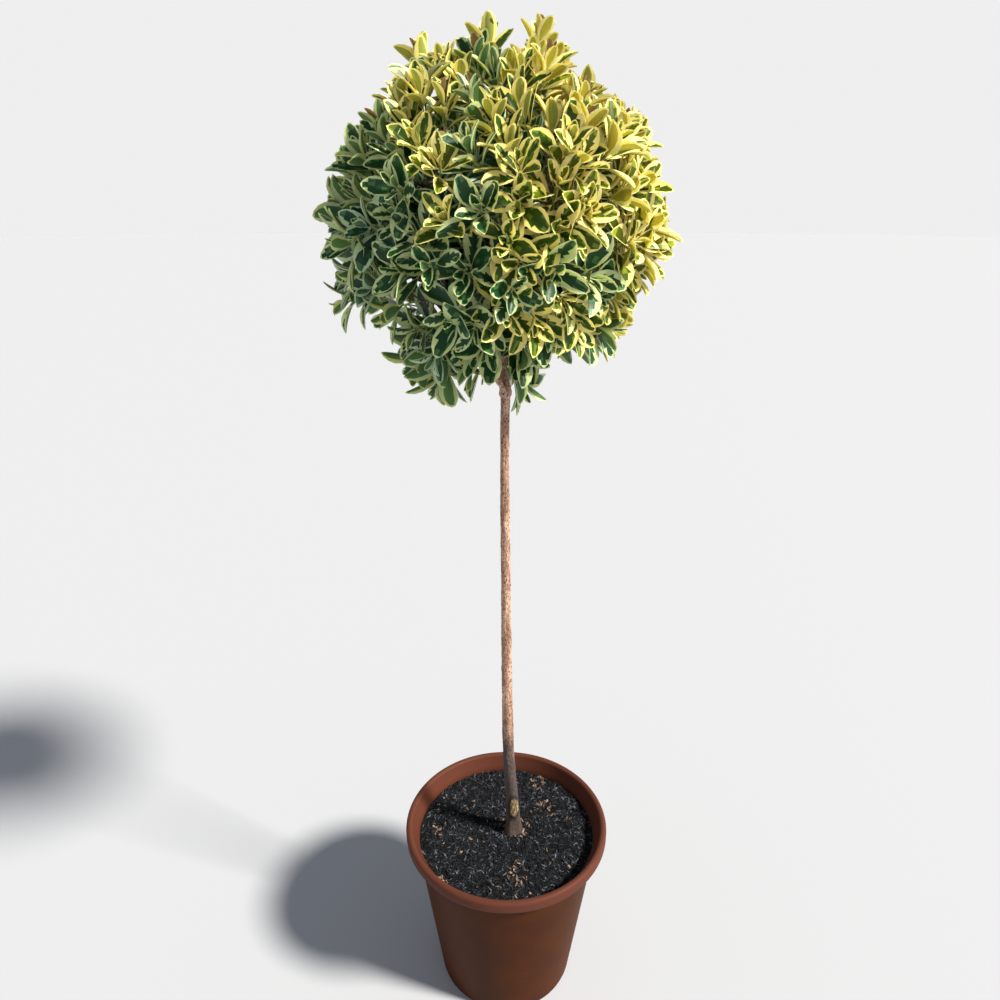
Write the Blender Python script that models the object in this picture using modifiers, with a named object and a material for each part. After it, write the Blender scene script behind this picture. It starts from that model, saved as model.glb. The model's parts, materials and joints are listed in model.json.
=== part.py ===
"""A potted standard spindle bush: a round head of variegated leaves on a bare stem, in a round plastic pot.

Metres, +Z up. The origin is the centre of the pot's flat underside, and -Y is the side that it is seen from.
Run it with blender --background --python part.py, or from Blender's text editor.
"""

import math
import random

import bmesh
import bpy
from mathutils import Matrix, Quaternion, Vector
from mathutils.bvhtree import BVHTree

UP = Vector((0, 0, 1))
CLEARANCE = 0.0003  # between two pieces that touch

# The pot.
POT_HEIGHT = 0.350
RIM_RADIUS = 0.190
RIM_INNER_RADIUS = 0.177
LIP_HEIGHT = 0.025
BODY_TOP_RADIUS = 0.1705
BASE_RADIUS = 0.130
BASE_EDGE_ROUND = 0.006
WALL = 0.0045
FLOOR = 0.006
POT_SIDES = 36

# The potting soil, which fills the pot to just below its rim.
SOIL_TOP = 0.320
SOIL_GAP = 0.0005  # to the pot's wall

# The trunk. Each station is (height, radius, lean along X).
TRUNK_STATIONS = (
    (SOIL_TOP + CLEARANCE, 0.0175, 0.0130),
    (0.345, 0.0140, 0.0130),
    (0.385, 0.0124, 0.0115),
    (0.536, 0.0100, 0.0030),
    (0.900, 0.0077, -0.0027),
    (1.100, 0.0067, -0.0045),
    (1.170, 0.0074, -0.0035),
    (1.210, 0.0098, -0.0040),
    (1.262, 0.0092, -0.0055),
    (1.290, 0.0072, -0.0060),
)
TRUNK_STEPS = 3  # rings from one station to the next
TRUNK_BEVEL_RESOLUTION = 3

# The head of leaves: the leaves' tips reach an egg-round surface.
HEAD_CENTRE = Vector((-0.013, 0.0, 1.417))
HEAD_RADII = Vector((0.245, 0.240, 0.236))
# Broad swellings and hollows of the head: (azimuth from +X, elevation, gain in reach, half-width in degrees).
SWELLINGS = (
    (170, 58, 0.03, 16),
    (135, 40, -0.05, 18),
    (200, 30, -0.05, 14),
    (10, 45, 0.02, 16),
    (195, -25, 0.05, 18),
    (245, -52, 0.06, 16),
)
# Single shoots that stand out from the head: (azimuth, elevation, reach as a share of the head's radii).
SPRIGS = (
    (-55, 79, 1.10),
    (180, 64, 1.06),
    (182, -27, 1.15),
    (224, -63, 1.13),
    (292, -70, 1.10),
    (-2, -8, 1.05),
    (-5, -42, 1.01),
)

# Tiers of boughs, each with its mass of leaves: (name, number, first azimuth, elevation of the mass's middle
# seen from the head's centre, its distance as a share of the head's radius, height where the lowest bough
# leaves the trunk, rise from one bough to the next, how far a bough sags as a share of its length).
TIERS = (
    ("low", 4, 250, -42, 0.62, 1.172, 0.0095, 0.16),
    ("high", 4, 205, 20, 0.60, 1.222, 0.0095, 0.09),
    ("top", 1, 0, 90, 0.64, 1.275, 0.0, 0.0),
)
BOUGH_ORDER_STEP = 2  # neighbours round the trunk don't leave it at neighbouring heights
BOUGH_ROOT_RADIUS = 0.0052
BOUGH_TIP_RADIUS = 0.0032
BOUGH_SWAY = 0.07  # how far a bough bows to its side, as a share of its length
BOUGH_POINTS = 6
BOUGH_BEVEL_RESOLUTION = 1
BOUGH_ENTRY = 0.012  # how far a bough goes into its mass's space

# Twigs and leaves. Leaves are larger than life, so that few of them fill the head.
SHOOTS = 130
SHOOT_JITTER = 0.35  # of the mean spacing
INNER_SHOOT_SHARE = 0.22
INNER_SHOOT_DEPTH = 0.66
LOWEST_SHOOT_ELEVATION = -66
# Thin places in the head: (azimuth, elevation, half-width in degrees).
THIN_PLACES = ((188, -40, 17), (320, -50, 14), (232, -24, 9), (128, -24, 14))
STEM_FOOT = 0.010  # the length of a mass's stem that carries straight on from its bough
STEM_RADII = (0.0030, 0.0028, 0.0022)
TWIG_RADII = (0.0019, 0.0018, 0.0017)
TWIG_SIDES = 3
TWIG_UPTURN = 0.48  # how much a shoot turns up from pointing straight outwards
LEAST_UPTURN, UPTURN_GAIN = 0.5, 2.2  # its share low on the head, and how fast it grows with height
TWIG_STRAIGHT = 0.42  # share of a twig that follows the shoot's own axis
LEAF_LENGTH = 0.070
LEAF_WIDTH = 0.040
LEAF_THICKNESS = 0.0018
LEAF_WIDEST = 0.62  # share of the length
LEAF_FOLD = 0.10  # rise of the edges over the midrib, as a share of the width
LEAF_DROOP = 0.08  # drop of the tip, as a share of the length
LEAF_PAIRS = 3
FIRST_PAIR = 0.006  # from a twig's tip
PAIR_SPACING = 0.013
LEAF_ANGLES = (24, 47, 70)  # between leaf and twig, from the tip's pair down
TWIG_TRIES = 10
LEAF_TRIES = 5  # a leaf without room is turned and made smaller this often
LEAF_SHRINK = 0.92
LEAF_NUDGE = 0.12
SPACE_MARGIN = 0.0006  # from a mass to the edge of its space
LIMB_MARGIN = 0.0008  # from a leaf or twig to a bough or the trunk
SEED = 12


def clear_scene():
    for thing in list(bpy.data.objects):
        bpy.data.objects.remove(thing)


def new_collection(name):
    collection = bpy.data.collections.new(name)
    bpy.context.scene.collection.children.link(collection)
    return collection


def new_material(name, colour, roughness):
    material = bpy.data.materials.new(name)
    material.use_nodes = True
    shader = material.node_tree.nodes["Principled BSDF"]
    shader.inputs["Base Color"].default_value = (*colour, 1)
    shader.inputs["Roughness"].default_value = roughness
    shader.inputs["Metallic"].default_value = 0.0
    return material


def add_mesh_object(name, bm, collection):
    mesh = bpy.data.meshes.new(name)
    bm.to_mesh(mesh)
    bm.free()
    thing = bpy.data.objects.new(name, mesh)
    collection.objects.link(thing)
    return thing


def evaluated_mesh(thing):
    graph = bpy.context.evaluated_depsgraph_get()
    graph.update()
    return bpy.data.meshes.new_from_object(thing.evaluated_get(graph))


def curve_to_mesh(curve):
    """Replaces a curve object by its welded mesh, which a Boolean can use."""
    name = curve.name
    mesh = evaluated_mesh(curve)
    bm = bmesh.new()
    bm.from_mesh(mesh)
    bmesh.ops.remove_doubles(bm, verts=bm.verts, dist=0.00001)
    thing = add_mesh_object(name + "_mesh", bm, curve.users_collection[0])
    thing.matrix_world = curve.matrix_world
    bpy.data.meshes.remove(mesh)
    bpy.data.objects.remove(curve)
    thing.name = name
    return thing


def shade_round(thing, material):
    thing.data.materials.clear()
    thing.data.materials.append(material)
    thing.data.shade_smooth()
    thing.data.set_sharp_from_angle(angle=math.radians(40))


# ---------------------------------------------------------------- pot and soil


def arc(centre, radius, first, last, steps):
    """Points on a circle in the XZ plane, with angles in degrees."""
    angles = [math.radians(first + (last - first) * i / steps) for i in range(steps + 1)]
    return [(centre[0] + radius * math.cos(a), centre[1] + radius * math.sin(a)) for a in angles]


def turned(name, profile, collection):
    """A profile of (radius, height) points turned round Z."""
    bm = bmesh.new()
    vertices = [bm.verts.new((radius, 0, height)) for radius, height in profile]
    for first, second in zip(vertices, vertices[1:]):
        bm.edges.new((first, second))
    thing = add_mesh_object(name, bm, collection)
    screw = thing.modifiers.new("Turn", "SCREW")
    screw.steps = POT_SIDES
    screw.render_steps = POT_SIDES
    screw.use_merge_vertices = True
    screw.merge_threshold = 0.0001
    return thing


def inner_wall_radius(height):
    """The radius of the pot's inner wall under its lip."""
    slope = (BODY_TOP_RADIUS - BASE_RADIUS) / (POT_HEIGHT - LIP_HEIGHT)
    return BASE_RADIUS + slope * height - WALL


def pot_profile():
    lip_bottom = POT_HEIGHT - LIP_HEIGHT
    rim_round = (RIM_RADIUS - RIM_INNER_RADIUS) / 2
    rim_middle = (RIM_INNER_RADIUS + rim_round, POT_HEIGHT - rim_round)
    lip_round = 0.008
    lip_middle = (RIM_RADIUS - lip_round, lip_bottom + lip_round)
    fillet = 0.007
    fillet_middle = (BODY_TOP_RADIUS + fillet, lip_bottom - fillet)
    base_middle = (BASE_RADIUS - BASE_EDGE_ROUND, BASE_EDGE_ROUND)
    return [
        (0, FLOOR),
        (inner_wall_radius(FLOOR), FLOOR),
        (inner_wall_radius(lip_bottom), lip_bottom),
        *arc(rim_middle, rim_round, 180, 0, 6),
        *arc(lip_middle, lip_round, 0, -90, 3),
        *arc(fillet_middle, fillet, 90, 180, 2),
        *arc(base_middle, BASE_EDGE_ROUND, 0, -90, 2),
        (0, 0),
    ]


def add_pot(collection, material):
    pot = turned("pot", pot_profile(), collection)
    shade_round(pot, material)
    return pot


def add_soil(collection, material):
    edge = SOIL_GAP * 4
    profile = [
        (0, SOIL_TOP),
        (inner_wall_radius(SOIL_TOP) - SOIL_GAP - edge, SOIL_TOP),
        (inner_wall_radius(SOIL_TOP - edge) - SOIL_GAP, SOIL_TOP - edge),
        (inner_wall_radius(FLOOR) - SOIL_GAP, FLOOR + CLEARANCE),
        (0, FLOOR + CLEARANCE),
    ]
    soil = turned("soil", profile, collection)
    shade_round(soil, material)
    return soil


# -------------------------------------------------------------- trunk and boughs


def smooth_between(stations, index, share):
    """A Catmull-Rom blend of the stations' numbers, share of the way from index to the next one."""
    last = len(stations) - 1
    a, b, c, d = (stations[min(max(index + k, 0), last)] for k in (-1, 0, 1, 2))
    t, t2, t3 = share, share**2, share**3
    return tuple(
        0.5 * (2 * q + (r - p) * t + (2 * p - 5 * q + 4 * r - s) * t2 + (3 * q - p - 3 * r + s) * t3)
        for p, q, r, s in zip(a, b, c, d)
    )


def trunk_rings():
    """(middle, radius) of each ring, from the flat cut at the soil up to the tip."""
    rings = []
    for index in range(len(TRUNK_STATIONS) - 1):
        steps = 1 if index == 0 else TRUNK_STEPS  # the foot starts upright, so that its cut is level
        for step in range(steps):
            rings.append(smooth_between(TRUNK_STATIONS, index, step / steps))
    rings.append(TRUNK_STATIONS[-1])
    return [(Vector((lean, 0, height)), radius) for height, radius, lean in rings]


def trunk_point(height):
    """The middle of the trunk at a height."""
    rings = trunk_rings()
    for (low, _), (high, _) in zip(rings, rings[1:]):
        if low.z <= height <= high.z:
            return low.lerp(high, (height - low.z) / (high.z - low.z))
    return rings[-1][0]


def tapered_curve(name, rings, bevel_resolution, collection):
    """A round limb through (point, radius) rings, as a curve with filled ends."""
    data = bpy.data.curves.new(name, "CURVE")
    data.dimensions = "3D"
    data.bevel_depth = 1.0
    data.bevel_resolution = bevel_resolution
    data.use_fill_caps = True
    spline = data.splines.new("POLY")
    spline.points.add(len(rings) - 1)
    for point, (middle, radius) in zip(spline.points, rings):
        point.co = (*middle, 1)
        point.radius = radius
    thing = bpy.data.objects.new(name, data)
    collection.objects.link(thing)
    return thing


def add_trunk(collection, cutters, material):
    """The trunk, and the slightly thicker one that cuts the boughs' roots clear of it."""
    rings = trunk_rings()
    trunk = curve_to_mesh(tapered_curve("trunk", rings, TRUNK_BEVEL_RESOLUTION, collection))
    shade_round(trunk, material)
    thicker = [(middle, radius + CLEARANCE * 1.1) for middle, radius in rings]
    foot, tip = thicker[0], thicker[-1]
    thicker[0] = (foot[0] - UP * CLEARANCE, foot[1])
    thicker[-1] = (tip[0] + UP * CLEARANCE, tip[1])
    cutter = curve_to_mesh(tapered_curve("trunk_cutter", thicker, TRUNK_BEVEL_RESOLUTION, cutters))
    cutter.hide_render = True
    cutter.display_type = "WIRE"
    return trunk, cutter


def spherical(azimuth, elevation):
    a, e = math.radians(azimuth), math.radians(elevation)
    return Vector((math.cos(e) * math.cos(a), math.cos(e) * math.sin(a), math.sin(e)))


def space_depth(point, index, masses):
    """How far a point is inside the space of one mass. That space is nearer its middle than any other's."""
    near = masses[index]["middle"]
    depths = [
        ((point - other["middle"]).length_squared - (point - near).length_squared)
        / (2 * (near - other["middle"]).length)
        for k, other in enumerate(masses)
        if k != index
    ]
    return min(depths)


def scaled_to_head(direction, share):
    return HEAD_CENTRE + Vector(d * r * share for d, r in zip(direction, HEAD_RADII))


def bezier(start, middle, end, steps):
    return [
        start * (1 - t) ** 2 + middle * 2 * t * (1 - t) + end * t**2
        for t in (i / steps for i in range(steps + 1))
    ]


def plan_masses():
    """One dictionary for each mass of leaves: its name, its space's middle and its bough's start and path."""
    masses = []
    for tier, count, azimuth, elevation, share, lowest, rise, sag in TIERS:
        for i in range(count):
            name = tier if count == 1 else f"{tier}_{i + 1}"
            middle = scaled_to_head(spherical(azimuth + 360 * i / count, elevation), share)
            root = trunk_point(lowest + rise * ((i * BOUGH_ORDER_STEP) % count))
            sway = BOUGH_SWAY * (-1) ** i
            masses.append({"name": name, "middle": middle, "root": root, "sag": sag, "sway": sway})
    for index, mass in enumerate(masses):
        root, middle = mass["root"], mass["middle"]
        shares = [i / 40 for i in range(8, 36)]
        entries = [t for t in shares if space_depth(root.lerp(middle, t), index, masses) > BOUGH_ENTRY]
        tip = root.lerp(middle, entries[0] if entries else shares[-1])
        along = tip - root
        aside = along.orthogonal().normalized() * mass["sway"] - UP * mass["sag"]
        mass["path"] = bezier(root, (root + tip) / 2 + aside * along.length, tip, BOUGH_POINTS - 1)
    return masses


def bough_rings(mass):
    path = mass["path"]
    last = len(path) - 1
    return [
        (point, BOUGH_ROOT_RADIUS + (BOUGH_TIP_RADIUS - BOUGH_ROOT_RADIUS) * i / last)
        for i, point in enumerate(path)
    ]


def add_bough(mass, trunk_cutter, collection, material):
    curve = tapered_curve(f"bough_{mass['name']}", bough_rings(mass), BOUGH_BEVEL_RESOLUTION, collection)
    bough = curve_to_mesh(curve)
    root_cut = bough.modifiers.new("Clear of the trunk", "BOOLEAN")
    root_cut.operation = "DIFFERENCE"
    root_cut.object = trunk_cutter
    shade_round(bough, material)
    return bough


# ------------------------------------------------------------- twigs and leaves


def reach(direction):
    """How far the leaves go in a direction, as a share of the head's radii."""
    gain = 0.0
    for azimuth, elevation, swelling, half_width in SWELLINGS:
        apart = math.degrees(direction.angle(spherical(azimuth, elevation)))
        gain += swelling * math.exp(-((apart / half_width) ** 2))
    return 1 + gain


def head_shoots(count, seed):
    """(direction from the head's centre, reach) of each shoot: evenly spread, moved a little and thinned."""
    chance = random.Random(seed)
    spacing = math.sqrt(4 * math.pi / count)
    golden = math.pi * (3 - math.sqrt(5))
    shoots = [(spherical(azimuth, elevation), share) for azimuth, elevation, share in SPRIGS]
    for i in range(count):
        z = 1 - 2 * (i + 0.5) / count
        ring = math.sqrt(1 - z * z)
        direction = Vector((ring * math.cos(golden * i), ring * math.sin(golden * i), z))
        moved = Vector(chance.gauss(0, 1) for _ in range(3)) * spacing * SHOOT_JITTER / 2
        direction = (direction + moved).normalized()
        depth = INNER_SHOOT_DEPTH if chance.random() < INNER_SHOOT_SHARE else 1.0
        low = math.degrees(math.asin(direction.z)) < LOWEST_SHOOT_ELEVATION
        if not low and not is_thin(direction, chance):
            shoots.append((direction, reach(direction) * depth))
    return shoots


def is_thin(direction, chance):
    """True where a shoot is left out, which is most of the time in the thin places."""
    for azimuth, elevation, half_width in THIN_PLACES:
        apart = math.degrees(direction.angle(spherical(azimuth, elevation)))
        if chance.random() < 0.9 * math.exp(-((apart / half_width) ** 2)):
            return True
    return False


def shoot_of(direction, share):
    """(tip, axis) of the leafy shoot whose leaves reach a share of the head's radii in a direction."""
    upturn = TWIG_UPTURN * (LEAST_UPTURN + UPTURN_GAIN * max(direction.z, -0.2))
    axis = (direction + UP * upturn).normalized()
    leaf_reach = LEAF_LENGTH * math.cos(math.radians(LEAF_ANGLES[0])) * 0.92
    outline = scaled_to_head(direction, share)
    return outline - direction * leaf_reach * max(direction.dot(axis), 0.5), axis


def rod(points, radii):
    """A three-sided piece of twig through two or three points, with filled ends."""
    bm = bmesh.new()
    first = points[1] - points[0]
    bmesh.ops.create_cone(
        bm, cap_ends=True, segments=TWIG_SIDES, radius1=radii[0], radius2=radii[1], depth=first.length
    )
    end = max(bm.faces, key=lambda face: face.calc_center_median().z)
    turn = first.to_track_quat("Z", "Y").to_matrix().to_4x4()
    bmesh.ops.transform(bm, matrix=Matrix.Translation((points[0] + points[1]) / 2) @ turn, verts=bm.verts)
    if len(points) == 3:
        bend = first.rotation_difference(points[2] - points[1])
        half_bend = bend.slerp(Quaternion(), 0.5)
        across = [vertex.co - points[1] for vertex in end.verts]
        for vertex, offset in zip(end.verts, across):
            vertex.co = points[1] + half_bend @ offset
        end = bmesh.ops.extrude_discrete_faces(bm, faces=[end])["faces"][0]
        for vertex, offset in zip(end.verts, across):
            vertex.co = points[2] + bend @ offset * (radii[2] / radii[1])
    bm.normal_update()
    return bm


def leaf_matrix(root, along, face):
    """Puts a leaf's length on X, along the leaf, and its upper face on Z."""
    x = along.normalized()
    y = face.cross(x).normalized()
    z = x.cross(y)
    return Matrix.Translation(root) @ Matrix((x, y, z)).transposed().to_4x4()


def leaf(matrix, size):
    """A leaf of eight faces: a flat ball of four sides, widest past its middle and folded at its midrib."""
    bm = bmesh.new()
    bmesh.ops.create_uvsphere(bm, u_segments=4, v_segments=2, radius=1)
    for vertex in bm.verts:
        x, y, z = vertex.co
        on_edge = abs(y) > 0.5
        rise = LEAF_WIDTH * LEAF_FOLD if on_edge else 0
        drop = LEAF_LENGTH * LEAF_DROOP if x > 0.5 else 0
        vertex.co = (
            LEAF_LENGTH * size * (LEAF_WIDEST if on_edge else (x + 1) / 2),
            LEAF_WIDTH * size * y / 2,
            LEAF_THICKNESS * z / 2 + rise - drop,
        )
    bmesh.ops.transform(bm, matrix=matrix, verts=bm.verts)
    return bm


def back_along(points, distance):
    """(point, heading) on a path, a distance before its end, or None where the path is shorter."""
    for start, end in reversed(list(zip(points, points[1:]))):
        length = (end - start).length
        if distance <= length:
            return end.lerp(start, distance / length), (end - start).normalized()
        distance -= length
    return None


def leaf_pairs(path, chance):
    """The pairs of leaves along a twig, set crosswise. A leaf is (root, direction, upper face, size)."""
    side = (path[-1] - path[-2]).orthogonal().normalized()
    turn = chance.uniform(0, math.pi)
    pairs = []
    for number in range(LEAF_PAIRS):
        spot = back_along(path, PAIR_SPACING * number + FIRST_PAIR)
        if spot is None:
            break
        node, axis = spot
        across = (side - axis * side.dot(axis)).normalized()
        pair = []
        for half_turn in (0, 1):
            around = turn + math.pi * (half_turn + number / 2) + chance.gauss(0, 0.12)
            outwards = Matrix.Rotation(around, 3, axis) @ across
            angle = math.radians(LEAF_ANGLES[number] + chance.gauss(0, 5))
            along = axis * math.cos(angle) + outwards * math.sin(angle)
            face = axis * math.sin(angle) - outwards * math.cos(angle)
            size = chance.uniform(0.86, 1.10) * (0.9 if number == 0 else 1.0)
            pair.append((node, along, face, size))
        pairs.append(pair)
    return pairs


def has_room(bm, index, masses, obstacles):
    """True if a piece keeps to its mass's space and cuts none of the obstacles.

    The space is convex, so a piece is inside it when all of its corners are.
    """
    if any(space_depth(v.co, index, masses) < SPACE_MARGIN for v in bm.verts):
        return False
    tree = BVHTree.FromBMesh(bm)
    return not any(tree.overlap(obstacle) for obstacle in obstacles)


def first_that_fits(place, index, masses, obstacles, chance):
    """A leaf at a place, turned a little and made smaller until it has room, or None."""
    root, along, face, size = place
    for attempt in range(LEAF_TRIES):
        nudge = Vector(chance.uniform(-1, 1) for _ in range(3)) * LEAF_NUDGE * attempt
        grown = leaf(leaf_matrix(root, along + nudge, face), size * LEAF_SHRINK**attempt)
        if has_room(grown, index, masses, obstacles):
            return grown
        grown.free()
    return None


def grow_twig(tip, axis, stem, share, index, masses, obstacles, chance):
    """The first of several twigs from the stem to a shoot's tip that has room, or None."""
    for attempt in range(TWIG_TRIES):
        start = stem[0].lerp(stem[1], share if attempt < 2 else chance.uniform(0.12, 0.98))
        length = (tip - start).length
        bend = tip - axis * length * TWIG_STRAIGHT if attempt % 2 == 0 else start.lerp(tip, 0.5)
        twig = rod([start, bend, tip], TWIG_RADII)
        if has_room(twig, index, masses, obstacles):
            return twig, (start, bend, tip)
        twig.free()
    return None


def thickened_limbs(masses):
    """A search tree for each bough and the trunk, with the clearance that leaves keep from them."""
    trees = []
    for rings in [bough_rings(mass) for mass in masses] + [trunk_rings()]:
        heading = (rings[-1][0] - rings[-2][0]).normalized()
        bm = rod_around(rings, heading)
        trees.append(BVHTree.FromBMesh(bm))
        bm.free()
    return trees


def rod_around(rings, heading):
    """A many-sided closed tube a clearance outside a limb."""
    bm = bmesh.new()
    for (start, radius), (end, _) in zip(rings, rings[1:]):
        along = end - start
        around = radius + LIMB_MARGIN
        turn = along.to_track_quat("Z", "Y").to_matrix().to_4x4()
        matrix = Matrix.Translation((start + end) / 2) @ turn
        bmesh.ops.create_cone(
            bm, cap_ends=True, segments=10, radius1=around, radius2=around, depth=along.length, matrix=matrix
        )
    return bm


def outer_shell(mesh):
    """Keeps the largest closed shell of a mesh, which drops loose scraps and fills sealed hollows."""
    bm = bmesh.new()
    bm.from_mesh(mesh)
    bmesh.ops.triangulate(bm, faces=bm.faces)
    unseen, shells = set(bm.faces), []
    while unseen:
        shell, edge_of = set(), [unseen.pop()]
        while edge_of:
            face = edge_of.pop()
            shell.add(face)
            neighbours = {f for edge in face.edges if edge.is_manifold for f in edge.link_faces} & unseen
            unseen -= neighbours
            edge_of += neighbours
        volume = sum(f.verts[0].co.dot(f.verts[1].co.cross(f.verts[2].co)) for f in shell) / 6
        shells.append((volume, shell))
    largest = max(shells, key=lambda s: s[0])[1]
    loose = [face for face in bm.faces if face not in largest]
    bmesh.ops.delete(bm, geom=loose, context="FACES")
    bm.to_mesh(mesh)
    bm.free()


def grow_mass(index, masses, limbs, shoots):
    """The pieces of one mass: its stem, and the twigs and leaves that have room in its space."""
    chance = random.Random(SEED * 100 + index)
    path, middle = masses[index]["path"], masses[index]["middle"]
    bough_heading = (path[-1] - path[-2]).normalized()
    foot = path[-1] + bough_heading * CLEARANCE
    start = foot + bough_heading * STEM_FOOT
    heading = (middle - start).normalized()
    stem = (start, middle + heading * STEM_FOOT)
    own_shoots = [shoot for shoot in shoots if space_depth(shoot[0], index, masses) > SPACE_MARGIN]
    own_shoots.sort(key=lambda shoot: (shoot[0] - start).dot(heading))
    twigs, leaves, paths, trees = [], [], [], []
    for rank, (tip, axis) in enumerate(own_shoots):
        share = 0.12 + 0.86 * (rank + 0.5) / len(own_shoots)
        grown = grow_twig(tip, axis, stem, share, index, masses, limbs + trees, chance)
        grown = grown or grow_twig(tip, axis, stem, share, index, masses, limbs, chance)
        if grown:
            twigs.append(grown[0])
            paths.append(grown[1])
            trees.append(BVHTree.FromBMesh(grown[0]))
    for own, path in enumerate(paths):
        obstacles = limbs + [tree for k, tree in enumerate(trees) if k != own]
        for pair in leaf_pairs(path, chance):
            grown = [first_that_fits(part, index, masses, obstacles, chance) for part in pair]
            grown = [part for part in grown if part]
            leaves += grown
            obstacles += [BVHTree.FromBMesh(part) for part in grown]
        trees += obstacles[len(limbs) + len(trees) - 1 :]
    return rod((foot, *stem), STEM_RADII), twigs, leaves


def add_mass(index, masses, limbs, shoots, collection, material):
    """One mass of leaves, with its stem, twigs and leaves fused into one solid."""
    name = masses[index]["name"]
    stem, twigs, leaves = grow_mass(index, masses, limbs, shoots)
    mass = add_mesh_object(f"foliage_{name}", stem, collection)
    pieces = new_collection(f"pieces_{name}")
    for number, piece in enumerate(twigs + leaves):
        add_mesh_object(f"piece_{number}", piece, pieces)
    fuse = mass.modifiers.new("Fuse", "BOOLEAN")
    fuse.operation = "UNION"
    fuse.operand_type = "COLLECTION"
    fuse.collection = pieces
    fuse.solver = "MANIFOLD"
    fused = evaluated_mesh(mass)
    mass.modifiers.clear()
    mass.data = fused
    outer_shell(fused)
    for piece in list(pieces.objects):
        bpy.data.objects.remove(piece)
    bpy.data.collections.remove(pieces)
    fused.materials.clear()
    fused.materials.append(material)
    print(f"{mass.name}: {len(twigs)} twigs, {len(leaves)} leaves, {len(fused.polygons)} faces")
    return len(leaves), len(fused.polygons)


def main():
    clear_scene()
    parts = new_collection("potted_standard")
    cutters = new_collection("limb_cutters")
    add_pot(parts, new_material("terracotta_plastic", (0.36, 0.13, 0.07), 0.5))
    add_soil(parts, new_material("potting_soil", (0.03, 0.024, 0.02), 0.95))
    bark = new_material("bark", (0.30, 0.19, 0.12), 0.85)
    _, trunk_cutter = add_trunk(parts, cutters, bark)
    masses = plan_masses()
    for mass in masses:
        add_bough(mass, trunk_cutter, parts, bark)
    limbs = thickened_limbs(masses)
    shoots = [shoot_of(direction, share) for direction, share in head_shoots(SHOOTS, SEED)]
    leaves = new_material("variegated_leaves", (0.30, 0.36, 0.10), 0.45)
    totals = [add_mass(i, masses, limbs, shoots, parts, leaves) for i in range(len(masses))]
    print(f"{sum(t[0] for t in totals)} leaves and {sum(t[1] for t in totals)} faces in {len(masses)} masses")


main()
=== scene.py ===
# %% [markdown]
# # A potted standard spindle bush
#
# The plant is a standard: one bare trunk that carries a round, loosely clipped head of variegated leaves. It
# stands in a round plastic pot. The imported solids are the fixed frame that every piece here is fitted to.
# Their leaves are few and larger than life, so this script grows the same head again, by the same rule, down
# to finer twigs and leaves at their real size.
#
# Everything is in metres, +Z is up, the origin is the middle of the pot's underside, and -Y is the front.

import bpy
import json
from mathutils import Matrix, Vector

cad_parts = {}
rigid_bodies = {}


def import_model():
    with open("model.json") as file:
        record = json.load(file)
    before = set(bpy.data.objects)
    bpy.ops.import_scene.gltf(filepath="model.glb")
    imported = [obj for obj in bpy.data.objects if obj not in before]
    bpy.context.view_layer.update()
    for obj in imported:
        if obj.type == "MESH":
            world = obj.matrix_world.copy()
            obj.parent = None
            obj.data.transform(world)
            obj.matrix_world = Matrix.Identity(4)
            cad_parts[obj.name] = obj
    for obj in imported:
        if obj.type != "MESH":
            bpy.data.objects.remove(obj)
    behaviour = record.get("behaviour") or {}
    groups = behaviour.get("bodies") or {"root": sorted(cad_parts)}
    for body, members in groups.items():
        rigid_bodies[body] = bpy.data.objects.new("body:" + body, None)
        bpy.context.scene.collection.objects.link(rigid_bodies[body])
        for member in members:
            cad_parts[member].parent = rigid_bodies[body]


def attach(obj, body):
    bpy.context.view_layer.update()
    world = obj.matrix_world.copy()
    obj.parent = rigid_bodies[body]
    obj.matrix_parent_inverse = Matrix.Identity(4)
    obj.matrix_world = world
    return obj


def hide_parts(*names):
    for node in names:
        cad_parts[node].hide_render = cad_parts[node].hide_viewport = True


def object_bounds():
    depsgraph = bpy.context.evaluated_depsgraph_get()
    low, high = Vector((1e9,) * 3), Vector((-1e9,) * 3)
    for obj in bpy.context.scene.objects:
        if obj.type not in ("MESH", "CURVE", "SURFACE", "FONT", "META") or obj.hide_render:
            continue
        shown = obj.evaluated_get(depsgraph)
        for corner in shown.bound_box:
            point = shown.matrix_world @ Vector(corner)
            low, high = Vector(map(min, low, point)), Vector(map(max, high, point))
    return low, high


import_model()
cad_low, cad_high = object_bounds()
print("the solids fill", [round(side, 3) for side in cad_high - cad_low])

# %% The other modules
import json
import math
import random

import bmesh
import bpy
from mathutils import Matrix, Vector, noise

UP = Vector((0, 0, 1))
BODY = "root"

# %% [markdown]
# ## Nodes written as sums
#
# A material or a Geometry Nodes tree is a graph, which takes many lines when each node and link is made by
# hand. Here one small class stands for an output socket, and its operators add Math nodes, so that
# `1 - mask * 0.5` builds the graph that it describes. A second class makes any other node with one method:
# first its settings, which decide what sockets it has, and then the values or wires of its inputs.

# %% Wires


class Wire:
    """An output socket that can be used in sums. Each operator adds a Math node."""

    def __init__(self, tree, socket):
        self.tree, self.socket = tree, socket

    def other(self, name):
        """Another output of the same node."""
        return Wire(self.tree, socket_in_use(self.socket.node.outputs, name))

    def math(self, operation, first, second):
        return self.tree.node("ShaderNodeMath", {"operation": operation}, first, second)

    def __add__(self, value):
        return self.math("ADD", self, value)

    def __radd__(self, value):
        return self.math("ADD", value, self)

    def __sub__(self, value):
        return self.math("SUBTRACT", self, value)

    def __rsub__(self, value):
        return self.math("SUBTRACT", value, self)

    def __mul__(self, value):
        return self.math("MULTIPLY", self, value)

    def __rmul__(self, value):
        return self.math("MULTIPLY", value, self)


def socket_in_use(sockets, name):
    """A socket by its number or name. A node may hold several of one name, of which one kind is in use."""
    if isinstance(name, int):
        return sockets[name]
    return next(socket for socket in sockets if socket.name == name and socket.enabled)


# %% A tree with one method for its nodes


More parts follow.
